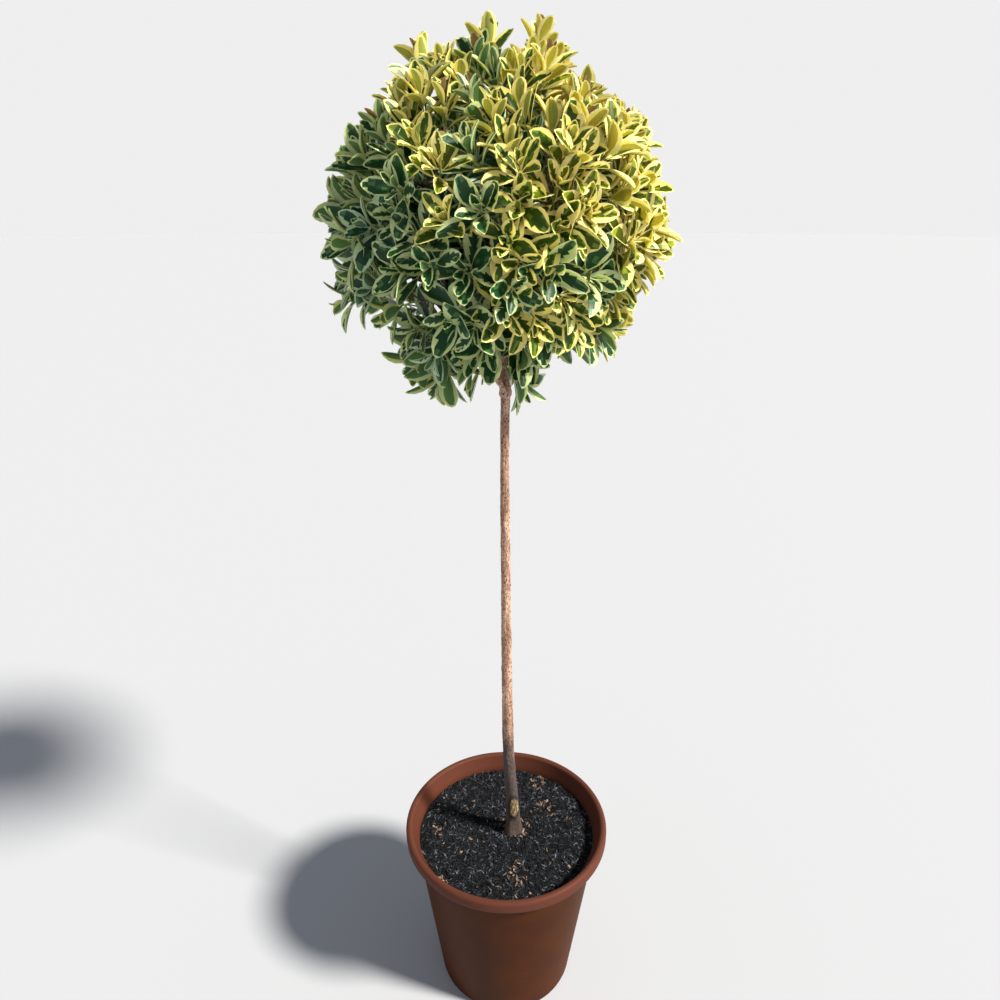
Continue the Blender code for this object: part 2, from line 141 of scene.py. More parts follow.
class Tree:
    """A node tree that makes its nodes with one method."""

    def __init__(self, tree):
        self.tree = tree

    def node(self, kind, settings=None, *numbered, **named):
        """Adds a node. Its inputs are given by number, or by name with _ for a space.

        Returns a wire from its first output in use, or the node if it has none.
        """
        node = self.tree.nodes.new(kind)
        for name, value in (settings or {}).items():
            setattr(node, name, value)
        inputs = dict(enumerate(numbered)) | {name.replace("_", " "): named[name] for name in named}
        for name, value in inputs.items():
            socket = socket_in_use(node.inputs, name)
            if isinstance(value, Wire):
                self.tree.links.new(value.socket, socket)
            else:
                socket.default_value = value
        outputs = [socket for socket in node.outputs if socket.enabled]
        return Wire(self, outputs[0]) if outputs else node


# %% [markdown]
# ## Finishes
#
# Every finish here is a Principled shader. What is the same all over a surface is set on the shader's own
# sockets, and what changes over it is wired into Base Color, Roughness or, through Bump, Normal. The patterns
# read Object coordinates, which are metres here, so a scale of 100 gives features of about a centimetre.

# %% A finish with its usual patterns


class Finish(Tree):
    """A material with one Principled shader, whose constants are given by name with _ for a space."""

    def __init__(self, name, **constants):
        self.material = bpy.data.materials.new(name)
        self.material.use_nodes = True
        super().__init__(self.material.node_tree)
        self.shader = self.tree.nodes["Principled BSDF"]
        for socket, value in constants.items():
            self.shader.inputs[socket.replace("_", " ")].default_value = value

    def place(self, stretch=(1, 1, 1)):
        """Object coordinates, squeezed so that patterns come out longer along an axis of small stretch."""
        where = self.node("ShaderNodeTexCoord").other("Object")
        return self.node("ShaderNodeMapping", Vector=where, Scale=stretch)

    def height(self):
        where = self.node("ShaderNodeTexCoord").other("Object")
        return self.node("ShaderNodeSeparateXYZ", Vector=where).other("Z")

    def clouds(self, where, scale, detail=3.0, roughness=0.55):
        return self.node("ShaderNodeTexNoise", Vector=where, Scale=scale, Detail=detail, Roughness=roughness)

    def cells(self, where, scale):
        return self.node("ShaderNodeTexVoronoi", Vector=where, Scale=scale)

    def between(self, value, low, high):
        """0 below low, 1 above high, and a smooth step from one to the other."""
        smooth = {"interpolation_type": "SMOOTHSTEP", "clamp": True}
        return self.node("ShaderNodeMapRange", smooth, Value=value, From_Min=low, From_Max=high)

    def mix(self, share, first, second):
        """first where the share is 0 and second where it is 1."""
        first, second = (value if isinstance(value, Wire) else (*value, 1) for value in (first, second))
        settings = {"data_type": "RGBA", "clamp_factor": True}
        return self.node("ShaderNodeMix", settings, Factor=share, A=first, B=second)

    def wire(self, socket, value):
        self.tree.links.new(value.socket, self.shader.inputs[socket])

    def bump(self, height, distance, strength):
        self.wire("Normal", self.node("ShaderNodeBump", Height=height, Distance=distance, Strength=strength))


# %% [markdown]
# ## Camera, floor and light
#
# The plant is about as tall as a person, and it is seen from the height of its head with a wide lens. The
# camera therefore stands close and looks down, which makes the pot look small and the head large. The light
# is a soft warm lamp from the upper right, like a hazy sun, and a pale sky all round fills the shade. The
# floor is as pale as the sky, so that hardly a line shows between them.

# %% Camera
CAMERA_PLACE = (-0.0118, -1.106, 1.445)
CAMERA_LOOKS_DOWN = 21.72  # degrees
LENS, SENSOR = 27.0, 36.0  # millimetres


def add_object(name, data, material=None):
    thing = bpy.data.objects.new(name, data)
    bpy.context.scene.collection.objects.link(thing)
    if material:
        data.materials.clear()
        data.materials.append(material)
    return thing


camera = add_object("camera", bpy.data.cameras.new("camera"))
camera.location = CAMERA_PLACE
camera.rotation_euler = (math.radians(90 - CAMERA_LOOKS_DOWN), 0, 0)
camera.data.lens = LENS
camera.data.sensor_width = SENSOR
camera.data.clip_start = 0.01
bpy.context.scene.camera = camera
print("the camera looks down by", CAMERA_LOOKS_DOWN, "degrees from", CAMERA_PLACE)

# %% Floor
FLOOR_RADIUS = 40.0
FLOOR_SIDES = 96
FLOOR_COLOUR = (0.419, 0.439, 0.482)


def turns(count):
    """Evenly spaced angles round a circle."""
    return [2 * math.pi * i / count for i in range(count)]


floor_rim = [(FLOOR_RADIUS * math.cos(a), FLOOR_RADIUS * math.sin(a), 0) for a in turns(FLOOR_SIDES)]
floor_finish = Finish("pale floor", Base_Color=(*FLOOR_COLOUR, 1), Roughness=0.9)
floor = add_object("floor", bpy.data.meshes.new("floor"))
floor.data.from_pydata(floor_rim, [], [list(range(FLOOR_SIDES))])
floor.data.materials.append(floor_finish.material)

# %% Light
KEY_FROM = Vector((0.80, -0.34, 0.81))
KEY_STRENGTH = 7.8
KEY_COLOUR = (1.0, 0.94, 0.83)
KEY_SPREAD = 9.0  # degrees across: its shadows are a little soft
SKY_LOW = (1.0, 1.0, 1.0)
SKY_HIGH = (0.18, 0.20, 0.235)
SKY_DARKENS = (0.21, 0.75)  # from and to what height of view: 0 is level and 1 is overhead
SKY_STRENGTH = 0.86


def add_sky():
    """White near the horizon and a cooler, darker colour overhead, as a studio's walls and ceiling are."""
    world = bpy.data.worlds.new("pale sky")
    world.use_nodes = True
    tree = Tree(world.node_tree)
    upwards = tree.node("ShaderNodeSeparateXYZ", Vector=tree.node("ShaderNodeTexCoord")).other("Z")
    start, end = SKY_DARKENS
    height = tree.node("ShaderNodeMapRange", Value=upwards, From_Min=start, From_Max=end)
    low, high = (*SKY_LOW, 1), (*SKY_HIGH, 1)
    colour = tree.node("ShaderNodeMix", {"data_type": "RGBA"}, Factor=height, A=low, B=high)
    ground = world.node_tree.nodes["Background"]
    ground.inputs["Strength"].default_value = SKY_STRENGTH
    world.node_tree.links.new(colour.socket, ground.inputs["Color"])
    bpy.context.scene.world = world


key = add_object("key_light", bpy.data.lights.new("key_light", "SUN"))
key.rotation_euler = KEY_FROM.to_track_quat("Z", "Y").to_euler()
key.data.energy = KEY_STRENGTH
key.data.color = KEY_COLOUR
key.data.angle = math.radians(KEY_SPREAD)
add_sky()
bpy.context.scene.view_settings.view_transform = "Standard"
print("the lamp is", round(math.degrees(math.asin(KEY_FROM.normalized().z))), "degrees high")

# %% [markdown]
# ## The pot
#
# The pot is moulded plastic in a terracotta colour: a tapering body, and a thick rolled lip. A turned object
# is one outline swept round an axis. The outline is written with arcs, so that the lip is as round as the
# real one, and the sweep is a short loop that also closes the poles.

# %% Turn an outline round the upright axis
POT_HEIGHT = 0.350
RIM_RADIUS = 0.190
RIM_INNER_RADIUS = 0.177
LIP_HEIGHT = 0.025
LIP_ROUND, FILLET, FOOT_ROUND = 0.008, 0.007, 0.006
BODY_TOP_RADIUS = 0.1705
BASE_RADIUS = 0.130
WALL = 0.0045
FLOOR_THICKNESS = 0.006
POT_SIDES = 160
POT_SHARP = 35  # degrees from which an edge stays sharp


def smooth_mesh(name, points, faces, sharp):
    """A mesh that looks smooth, apart from edges sharper than an angle in degrees."""
    mesh = bpy.data.meshes.new(name)
    mesh.from_pydata(points, [], faces)
    mesh.shade_smooth()
    mesh.set_sharp_from_angle(angle=math.radians(sharp))
    return mesh


def arc(centre, radius, first, last, steps):
    """Points on a circle, as (distance from the axis, height), with angles in degrees."""
    angles = [math.radians(first + (last - first) * i / steps) for i in range(steps + 1)]
    return [(centre[0] + radius * math.cos(a), centre[1] + radius * math.sin(a)) for a in angles]


def turned(name, outline, sides, material):
    """An outline that starts and ends on the axis, turned into a closed skin with its faces outwards."""
    points, faces, rings = [], [], []
    for radius, height in outline:
        around = turns(sides) if radius > 1e-6 else [0.0]
        rings.append([len(points) + k for k in range(len(around))])
        points += [(radius * math.cos(a), radius * math.sin(a), height) for a in around]
    for low, high in zip(rings, rings[1:]):
        for k in range(sides):
            n = (k + 1) % sides
            corners = [low[k % len(low)], low[n % len(low)], high[n % len(high)], high[k % len(high)]]
            faces.append(list(dict.fromkeys(corners)))
    return add_object(name, smooth_mesh(name, points, faces, POT_SHARP), material)


def inner_wall_radius(height):
    slope = (BODY_TOP_RADIUS - BASE_RADIUS) / (POT_HEIGHT - LIP_HEIGHT)
    return BASE_RADIUS + slope * height - WALL


def pot_outline():
    """From the middle of the inner floor up the wall, over the lip and down to the middle of the foot."""
    lip_bottom = POT_HEIGHT - LIP_HEIGHT
    rim_round = (RIM_RADIUS - RIM_INNER_RADIUS) / 2
    return [
        (0, FLOOR_THICKNESS),
        (inner_wall_radius(FLOOR_THICKNESS), FLOOR_THICKNESS),
        (inner_wall_radius(lip_bottom), lip_bottom),
        *arc((RIM_INNER_RADIUS + rim_round, POT_HEIGHT - rim_round), rim_round, 180, 0, 20),
        *arc((RIM_RADIUS - LIP_ROUND, lip_bottom + LIP_ROUND), LIP_ROUND, 0, -90, 8),
        *arc((BODY_TOP_RADIUS + FILLET, lip_bottom - FILLET), FILLET, 90, 180, 6),
        *arc((BASE_RADIUS - FOOT_ROUND, FOOT_ROUND), FOOT_ROUND, 0, -90, 8),
        (0, 0),
    ]


# %% [markdown]
# The plastic is coloured all through, matt and a little uneven. Its colours are darker than its own
# terracotta, as painted shade. It has a very fine grain from its mould, pale rubbed marks where it was
# handled, a paler lip, partly from fading in the sun and partly painted light on its lit top, and dried
# splashes of compost that gather low on the body.

# %% Plastic
# both colours are darker than the plastic's own terracotta: painted shade
SHADED_PLASTIC_DEEP, SHADED_PLASTIC_PALE = (0.042, 0.0105, 0.0014), (0.056, 0.0143, 0.0019)
# the first colour is the lip's: paler partly from fading in the sun and partly as painted light on its lit
# top
FADED_AND_LIT, RUBBED, SPLASHED = (0.100, 0.033, 0.022), (0.26, 0.115, 0.070), (0.040, 0.021, 0.014)
PALER_FROM, PALER_TO = 0.314, 0.334  # heights, from just under the lip
SPLASHES_TO = 0.16  # the height up to which there are more of them


def plastic_finish():
    finish = Finish("terracotta plastic", Specular_IOR_Level=0.07)
    where = finish.place()
    patches = finish.clouds(where, 14.0, 4.0)
    specks = finish.clouds(where, 520.0, 2.0)
    colour = finish.mix(finish.between(patches, 0.35, 0.70), SHADED_PLASTIC_DEEP, SHADED_PLASTIC_PALE)
    rubs = finish.clouds(finish.place((1, 1, 9)), 38.0, 5.0, 0.7)
    rubbed = finish.between(rubs, 0.62, 0.80)
    height = finish.height()
    # the lip is painted paler above these heights, partly as sun fading and partly as painted light on the
    # lit top
    faded_and_lit = finish.between(height + patches * 0.004, PALER_FROM, PALER_TO)
    colour = finish.mix(faded_and_lit * 0.8, colour, FADED_AND_LIT)
    colour = finish.mix(rubbed * 0.35, colour, RUBBED)
    low = 1 - finish.between(height, 0.0, SPLASHES_TO)
    dirt = finish.between(finish.clouds(where, 60.0, 6.0, 0.7), 0.56, 0.74) * (0.25 + low * 0.55)
    colour = finish.mix(dirt, colour, SPLASHED)
    finish.wire("Base Color", colour)
    finish.wire("Roughness", 0.46 + patches * 0.14 + dirt * 0.25)
    finish.bump(specks * 0.5 + rubs * 0.6, 0.0006, 0.35)
    return finish.material


pot = turned("pot_shell", pot_outline(), POT_SIDES, plastic_finish())
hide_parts("pot")
print("the pot has", len(pot.data.polygons), "faces")

# %% [markdown]
# ## Geometry Nodes, applied
#
# What repeats is placed by a Geometry Nodes tree. Each tree is a group with named inputs, and the group is
# tried out on a host mesh as a modifier. The result has to be a plain mesh in the end, because instances
# aren't exported. So one class makes the group, and a function sets the modifier's inputs by their
# identifiers, evaluates the host and puts the plain result in the host's place.

# %% Make a group and apply it


class Recipe(Tree):
    """A Geometry Nodes group whose first input and only output are the geometry."""

    def __init__(self, name, **sizes):
        super().__init__(bpy.data.node_groups.new(name, "GeometryNodeTree"))
        self.sockets = {}
        for size, kind in {"Geometry": "Geometry", **sizes}.items():
            made = self.tree.interface.new_socket(size, in_out="INPUT", socket_type=f"NodeSocket{kind}")
            self.sockets[size] = made.identifier
        self.tree.interface.new_socket("Geometry", in_out="OUTPUT", socket_type="NodeSocketGeometry")
        self.start = self.node("NodeGroupInput")

    def given(self, size):
        return self.start.other(size)

    def attribute(self, name, kind="FLOAT"):
        return self.node("GeometryNodeInputNamedAttribute", {"data_type": kind}, Name=name)

    def random(self, low, high, seed, kind="FLOAT"):
        return self.node("FunctionNodeRandomValue", {"data_type": kind}, Min=low, Max=high, Seed=seed)

    def set_out(self, points, number, turn, size):
        """Real copies of the given shapes, one on each point."""
        shapes = self.node(
            "GeometryNodeCollectionInfo", Collection=self.given("Shapes"), Separate_Children=True,
            Reset_Children=True,
        )
        placed = self.node(
            "GeometryNodeInstanceOnPoints", Points=points, Instance=shapes, Pick_Instance=True,
            Instance_Index=number, Rotation=turn, Scale=size,
        )
        return self.node("GeometryNodeRealizeInstances", Geometry=placed)

    def painted(self, geometry, material, chosen=True):
        return self.node("GeometryNodeSetMaterial", Geometry=geometry, Selection=chosen, Material=material)

    def finish(self, geometry):
        self.node("NodeGroupOutput", Geometry=geometry)


def grown_by(recipe, name, host_mesh, **sizes):
    """The plain mesh object that a recipe makes of a host mesh."""
    thing = add_object(name, host_mesh)
    modifier = thing.modifiers.new(name, "NODES")
    modifier.node_group = recipe.tree
    for size, value in sizes.items():
        modifier[recipe.sockets[size]] = value
    graph = bpy.context.evaluated_depsgraph_get()
    thing.data = bpy.data.meshes.new_from_object(thing.evaluated_get(graph))
    thing.modifiers.clear()
    bpy.data.meshes.remove(host_mesh)
    thing.data.calc_loop_triangles()
    print(name, "has", len(thing.data.loop_triangles), "triangles")
    return thing


# %% [markdown]
# ## The compost
#
# Potting compost is dark and wet, made of crumbs, shreds of bark and fine fibres that lie in all directions.
# From a step away its shreds are what shows, so they are real pieces, strewn by Geometry Nodes on a lumpy
# bed. The bed is a turned skin whose top is raised by noise, a little higher round the trunk.

# %% Compost bed
SOIL_TOP = 0.320
SOIL_GAP = 0.0005
BED_RINGS = 60
BED_SIDES = 150
BED_DROP = 0.0015  # its level lies under the source's, so that the litter has room
BED_EDGE = 0.006  # metres from the wall over which the lumps reach their full height
LUMP_HEIGHT = 0.0022
HEAP_HEIGHT = 0.004
HEAP_PLACE, HEAP_RADIUS = 0.013, 0.035
# the bed's colours are darkened and cooled to blue-grey, as painted shade
SHADED_BED_COLOURS = (0.0015, 0.0017, 0.0022), (0.006, 0.0068, 0.0090)


def bed_height(x, y):
    """How high the bed is over its level, with lumps of two sizes and a low heap round the trunk."""
    broad = noise.noise(Vector((x * 22, y * 22, 4.1)))
    fine = noise.noise(Vector((x * 95, y * 95, 7.3)))
    heap = math.exp(-((math.hypot(x - HEAP_PLACE, y) / HEAP_RADIUS) ** 2))
    return LUMP_HEIGHT * (broad + 0.6 * fine) + HEAP_HEIGHT * heap - BED_DROP


def compost_bed(material):
    rim = inner_wall_radius(SOIL_TOP) - SOIL_GAP
    bottom = FLOOR_THICKNESS + SOIL_GAP
    outline = [(0, bottom), (inner_wall_radius(FLOOR_THICKNESS) - SOIL_GAP, bottom)]
    outline += [(rim * (1 - i / BED_RINGS), SOIL_TOP) for i in range(BED_RINGS + 1)]
    bed = turned("compost_bed", outline, BED_SIDES, material)
    for vertex in bed.data.vertices:
        if vertex.co.z > SOIL_TOP - 0.001:
            fade = min(1.0, (rim - vertex.co.xy.length) / BED_EDGE)
            vertex.co.z += bed_height(vertex.co.x, vertex.co.y) * (0.4 + 0.6 * fade)
    return bed


def compost_finish(name, dark, light, roughness=0.9):
    """A damp vegetable brown or black that differs from one small cell to the next."""
    finish = Finish(name, Specular_IOR_Level=0.15)
    where = finish.place()
    cell = finish.cells(where, 330.0)
    grain = finish.clouds(where, 900.0, 3.0)
    patch = finish.clouds(where, 60.0, 3.0)
    share = finish.between(grain * 0.6 + patch * 0.6, 0.42, 0.82)
    finish.wire("Base Color", finish.mix(share, dark, light))
    finish.wire("Roughness", roughness - patch * 0.2)
    finish.bump(cell + grain * 0.6, 0.0010, 0.7)
    return finish.material


bed = compost_bed(compost_finish("damp compost", *SHADED_BED_COLOURS, 0.95))
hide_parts("soil")
print("the compost bed has", len(bed.data.polygons), "faces")

# %% [markdown]
# The litter has three kinds of shapes: crumbs, flat chips, and long shreds. One recipe strews any of them:
# points on the upward faces of the bed, a random shape from a collection on each, turned any way but lying
# nearly flat.

# %% Shapes of the litter
CHIP_SIDES = 7
SHRED_SIDES, SHRED_STATIONS = 3, 5


def finished_shape(name, bm):
    """A small shape as an object, with its faces outwards, that waits in no collection."""
    bmesh.ops.recalc_face_normals(bm, faces=bm.faces)
    mesh = bpy.data.meshes.new(name)
    bm.to_mesh(mesh)
    bm.free()
    return bpy.data.objects.new(name, mesh)


def crumb_shape(name, chance, size):
    """A lump: a squashed ball of few faces with uneven corners."""
    bm = bmesh.new()
    bmesh.ops.create_icosphere(bm, subdivisions=1, radius=1)
    stretch = [chance.uniform(0.7, 1.3) for _ in range(3)]
    for vertex in bm.verts:
        uneven = chance.uniform(0.7, 1.15) * size
        vertex.co = Vector(c * s * uneven for c, s in zip(vertex.co, stretch))
    return finished_shape(name, bm)


def chip_shape(name, chance, size):
    """A flat splinter with a ragged outline."""
    bm = bmesh.new()
    width = chance.uniform(0.25, 0.55)
    for level in (-1, 1):
        for a in turns(CHIP_SIDES):
            ragged = chance.uniform(0.75, 1.15) * size
            bend = 0.25 * math.cos(a) ** 2
            bm.verts.new((ragged * math.cos(a), ragged * width * math.sin(a), size * (0.10 * level + bend)))
    bmesh.ops.convex_hull(bm, input=bm.verts)
    return finished_shape(name, bm)


def shred_shape(name, chance, size):
    """A long fibre, bent, and pointed at both ends."""
    bm = bmesh.new()
    bow, lift = chance.uniform(-0.10, 0.10), chance.uniform(0.02, 0.12)
    thick = chance.uniform(0.10, 0.17)
    rings = []
    for i in range(SHRED_STATIONS):
        t = 2 * i / (SHRED_STATIONS - 1) - 1
        middle = Vector((t, bow * t * t, lift * (1 - t * t))) * size
        spread = size * thick * (1.0 - 0.6 * t * t)
        across = [(0, spread * math.cos(a) * 1.6, spread * math.sin(a)) for a in turns(SHRED_SIDES)]
        rings.append([bm.verts.new(middle + Vector(offset)) for offset in across])
    for low, high in zip(rings, rings[1:]):
        for k in range(SHRED_SIDES):
            n = (k + 1) % SHRED_SIDES
            bm.faces.new((low[k], low[n], high[n], high[k]))
    bm.faces.new(reversed(rings[0]))
    bm.faces.new(rings[-1])
    return finished_shape(name, bm)


def shelf(name, shapes):
    """A collection of shapes for a recipe to pick from."""
    collection = bpy.data.collections.new(name)
    for shape in shapes:
        collection.objects.link(shape)
    return collection


def clear_shelf(collection):
    for shape in list(collection.objects):
        bpy.data.objects.remove(shape)
    bpy.data.collections.remove(collection)


# %% Strew the litter
SMALLEST, TILT = 0.35, 0.6  # the smallest piece's share of the full size, and the greatest tilt in radians
BARK_COLOURS = (0.060, 0.036, 0.024), (0.42, 0.28, 0.185)
# the compost's colours, not the bark's, are darkened and cooled to blue-grey, as painted shade
LITTER = (
    # name, shape, number of shapes, size, pieces to a square metre, dark colour, light colour, seed
    ("compost_crumbs", crumb_shape, 4, 0.0024, 20000, (0.0016, 0.0019, 0.0026), (0.009, 0.0102, 0.0140), 0),
    ("compost_shreds", shred_shape, 6, 0.0080, 52000, (0.002, 0.0023, 0.0030), (0.024, 0.0275, 0.0350), 1),
    ("compost_fibres", shred_shape, 4, 0.0074, 11000, (0.028, 0.0315, 0.0390), (0.145, 0.160, 0.190), 2),
    ("compost_chips", chip_shape, 4, 0.0046, 6000, (0.006, 0.0056, 0.0062), (0.036, 0.0340, 0.0370), 3),
    ("bark_chips", chip_shape, 4, 0.0050, 500, *BARK_COLOURS, 7),
    ("bark_heaps", chip_shape, 5, 0.0062, 16000, *BARK_COLOURS, 8),
)
BARK_PATCHES = (  # where the bark heaps lie: middle and radius
    (0.067, 0.127, 0.018), (0.080, 0.060, 0.022), (0.021, -0.096, 0.026), (-0.131, -0.001, 0.014),
    (-0.119, -0.113, 0.012), (0.015, 0.010, 0.030),
)


def strewing_recipe():
    recipe = Recipe(
        "strewn litter", Shapes="Collection", Density="Float", Smallest="Float", Tilt="Float",
        Finish="Material", Seed="Int",
    )
    seed, tilt = recipe.given("Seed"), recipe.given("Tilt")
    upward = recipe.node("ShaderNodeSeparateXYZ", Vector=recipe.node("GeometryNodeInputNormal")).other("Z")
    on_top = recipe.node("FunctionNodeCompare", {"operation": "GREATER_THAN"}, A=upward, B=0.5)
    points = recipe.node(
        "GeometryNodeDistributePointsOnFaces", Mesh=recipe.start, Selection=on_top,
        Density=recipe.given("Density"), Seed=seed,
    )
    lying = recipe.node(
        "ShaderNodeCombineXYZ", X=recipe.random(-1.0, 1.0, seed + 1) * tilt,
        Y=recipe.random(-1.0, 1.0, seed + 2) * tilt, Z=recipe.random(0.0, 2 * math.pi, seed + 3),
    )
    number = recipe.random(0, 99, seed + 4, "INT")
    size = recipe.random(recipe.given("Smallest"), 1.0, seed + 5)
    pieces = recipe.set_out(points, number, lying, size)
    recipe.finish(recipe.painted(pieces, recipe.given("Finish")))
    return recipe


def strewn(host_mesh, name, shape, kinds, size, density, dark, light, seed):
    """One kind of litter on the upward faces of a mesh."""
    chance = random.Random(40 + seed)
    shapes = shelf(name, [shape(f"{name}_{k}", chance, size) for k in range(kinds)])
    piece = grown_by(
        strew, name, host_mesh, Shapes=shapes, Density=density, Smallest=SMALLEST, Tilt=TILT,
        Finish=compost_finish(name, dark, light), Seed=10 * seed,
    )
    clear_shelf(shapes)
    return piece


def bed_within(patches):
    """A copy of the bed that keeps only the faces of its top in some round patches."""
    bm = bmesh.new()
    bm.from_mesh(bed.data)
    outside = []
    for face in bm.faces:
        middle = face.calc_center_median()
        inside = any(math.hypot(middle.x - x, middle.y - y) < radius for x, y, radius in patches)
        if middle.z < SOIL_TOP - 0.02 or not inside:
            outside.append(face)
    bmesh.ops.delete(bm, geom=outside, context="FACES")
    mesh = bed.data.copy()
    bm.to_mesh(mesh)
    bm.free()
    return mesh


strew = strewing_recipe()
litter = []
for row in LITTER:
    host_mesh = bed_within(BARK_PATCHES) if row[0] == "bark_heaps" else bed.data.copy()
    litter.append(strewn(host_mesh, *row))
for piece in litter:
    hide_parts("soil")

# %% [markdown]
# ## The limbs
#
# The trunk and the boughs are the frame's own limbs, so their stations are the source's: height, radius and
# lean for the trunk, and a bowed path from the trunk to each mass of leaves for the boughs. A limb's skin is
# a tube of rings round that path. Its relief is worked out point by point from noise, so that the bark's low
# ridges, its leaf scars, the flutes of the foot and the stub of a cut-off shoot are real geometry.

# %% The trunk's path
TRUNK_STATIONS = (  # height, radius and lean
    (SOIL_TOP + 0.0003, 0.0175, 0.0130), (0.345, 0.0140, 0.0130), (0.385, 0.0124, 0.0115),
    (0.536, 0.0100, 0.0030), (0.900, 0.0077, -0.0027), (1.100, 0.0067, -0.0045), (1.170, 0.0074, -0.0035),
    (1.210, 0.0098, -0.0040), (1.262, 0.0092, -0.0055), (1.290, 0.0072, -0.0060),
)
TRUNK_STEPS = 3
RING_SPACING = 0.0017
TRUNK_SIDES = 60
BOUGH_SIDES = 26
LIMB_SHARP = 50  # degrees


def smooth_between(stations, index, share):
    """A Catmull-Rom blend of the stations' numbers, share of the way from index to the next one."""
    last = len(stations) - 1
    a, b, c, d = (stations[min(max(index + k, 0), last)] for k in (-1, 0, 1, 2))
    t, t2, t3 = share, share**2, share**3
    return tuple(
        0.5 * (2 * q + (r - p) * t + (2 * p - 5 * q + 4 * r - s) * t2 + (3 * q - p - 3 * r + s) * t3)
        for p, q, r, s in zip(a, b, c, d)
    )


def trunk_rings(steps_of):
    """(middle, radius) of each ring from the soil up, where steps_of gives the steps of a stretch."""
    rings = []
    for index in range(len(TRUNK_STATIONS) - 1):
        steps = steps_of(index)
        rings += [smooth_between(TRUNK_STATIONS, index, step / steps) for step in range(steps)]
    rings.append(TRUNK_STATIONS[-1])
    return [(Vector((lean, 0, height)), radius) for height, radius, lean in rings]


def fine_steps(index):
    return max(1, round((TRUNK_STATIONS[index + 1][0] - TRUNK_STATIONS[index][0]) / RING_SPACING))


def trunk_point(height):
    """The middle of the trunk at a height, on the source's own rings."""
    rings = trunk_rings(lambda index: 1 if index == 0 else TRUNK_STEPS)
    for (low, _), (high, _) in zip(rings, rings[1:]):
        if low.z <= height <= high.z:
            return low.lerp(high, (height - low.z) / (high.z - low.z))
    return rings[-1][0]


# %% A skin round a path
def tube(name, rings, sides, relief):
    """A closed tube round (middle, radius) rings. relief(distance along, outwards, middle) is added."""
    points, faces = [], []
    side, along = None, 0.0
    for number, (middle, radius) in enumerate(rings):
        before = rings[max(number - 1, 0)][0]
        after = rings[min(number + 1, len(rings) - 1)][0]
        heading = (after - before).normalized()
        side = side or heading.orthogonal().normalized()
        side = (side - heading * side.dot(heading)).normalized()
        across = heading.cross(side)
        along += (middle - before).length
        for angle in turns(sides):
            out = side * math.cos(angle) + across * math.sin(angle)
            points.append(middle + out * (radius + relief(along, out, middle)))
    for low in range(0, (len(rings) - 1) * sides, sides):
        for k in range(sides):
            n = (k + 1) % sides
            faces.append((low + k, low + n, low + sides + n, low + sides + k))
    faces.append(tuple(reversed(range(sides))))
    faces.append(tuple(range(len(points) - sides, len(points))))
    return smooth_mesh(name, points, faces, LIMB_SHARP)


# %% Bark relief
RIDGE_DEPTH, PLATE_DEPTH, LUMP_DEPTH = 0.00060, 0.00045, 0.0007
FLUTES, FLUTE_DEPTH, FLUTE_TURN = 3, 0.0022, 0.7
FLUTE_REACH = 0.030  # metres up from the soil
STUB_PLACE = Vector((0.0150, -0.0125, 0.388))
STUB_LONG, STUB_WIDE, STUB_RISE = 0.026, 0.0100, 0.0035
SCARS, SCAR_SEED = 26, 5
SCAR_SIZE, SCAR_RISE, SCAR_PIT = 0.0042, 0.0011, 0.55
SCARS_FROM, SCARS_OVER = 0.43, 0.76  # the lowest scar's height, and how far up they are spread
GRAIN_RADIUS, SCAR_RADIUS, STUB_RADIUS = 0.012, 0.009, 0.0125  # the trunk's, where each is worked out


def trunk_scars():
    """Places where side shoots were rubbed off the trunk while it was trained: (height, direction)."""
    chance = random.Random(SCAR_SEED)
    heights = [SCARS_FROM + SCARS_OVER * (k + chance.uniform(0.1, 0.9)) / SCARS for k in range(SCARS)]
    angles = [chance.uniform(0, 2 * math.pi) for _ in heights]
    return [(height, Vector((math.cos(a), math.sin(a), 0))) for height, a in zip(heights, angles)]


def bark_grain(point):
    """Low upright ridges and small plates, from noise that is stretched along the stem."""
    ridges = noise.noise(Vector((point.x * 420, point.y * 420, point.z * 34)))
    plates = noise.noise(Vector((point.x * 260, point.y * 260, point.z * 190 + 9)))
    return RIDGE_DEPTH * ridges + PLATE_DEPTH * plates


def trunk_relief():
    scars = trunk_scars()

    def relief(along, out, middle):
        def apart(height, facing, radius, long, wide):
            """The square of the distance to a mark on the trunk, in the mark's own sizes."""
            return ((middle.z - height) / long) ** 2 + ((out - facing).length * radius / wide) ** 2

        rise = bark_grain(middle + out * GRAIN_RADIUS)
        rise += LUMP_DEPTH * noise.noise(Vector((out.x * 1.3, out.y * 1.3, middle.z * 26)))
        foot = math.exp(-(((middle.z - SOIL_TOP) / FLUTE_REACH) ** 2))
        rise += FLUTE_DEPTH * foot * math.cos(FLUTES * math.atan2(out.y, out.x) + FLUTE_TURN)
        for height, facing in scars:
            if abs(height - middle.z) < 3 * SCAR_SIZE:
                square = apart(height, facing, SCAR_RADIUS, SCAR_SIZE, SCAR_SIZE)
                rise += SCAR_RISE * (math.exp(-square) - SCAR_PIT * math.exp(-square * 5))
        if abs(middle.z - STUB_PLACE.z) < 3 * STUB_LONG:
            facing = Vector((STUB_PLACE.x - middle.x, STUB_PLACE.y, 0)).normalized()
            square = apart(STUB_PLACE.z, facing, STUB_RADIUS, STUB_LONG, STUB_WIDE)
            rise += STUB_RISE * math.exp(-(square**2))
        return rise

    return relief


# %% [markdown]
# The bark is thin. Low down it is dark grey-brown. Higher up it turns tan with browner patches and dark
# flecks, and small corky spots are scattered over it. The stub's cut is pale wood with a dark rim.

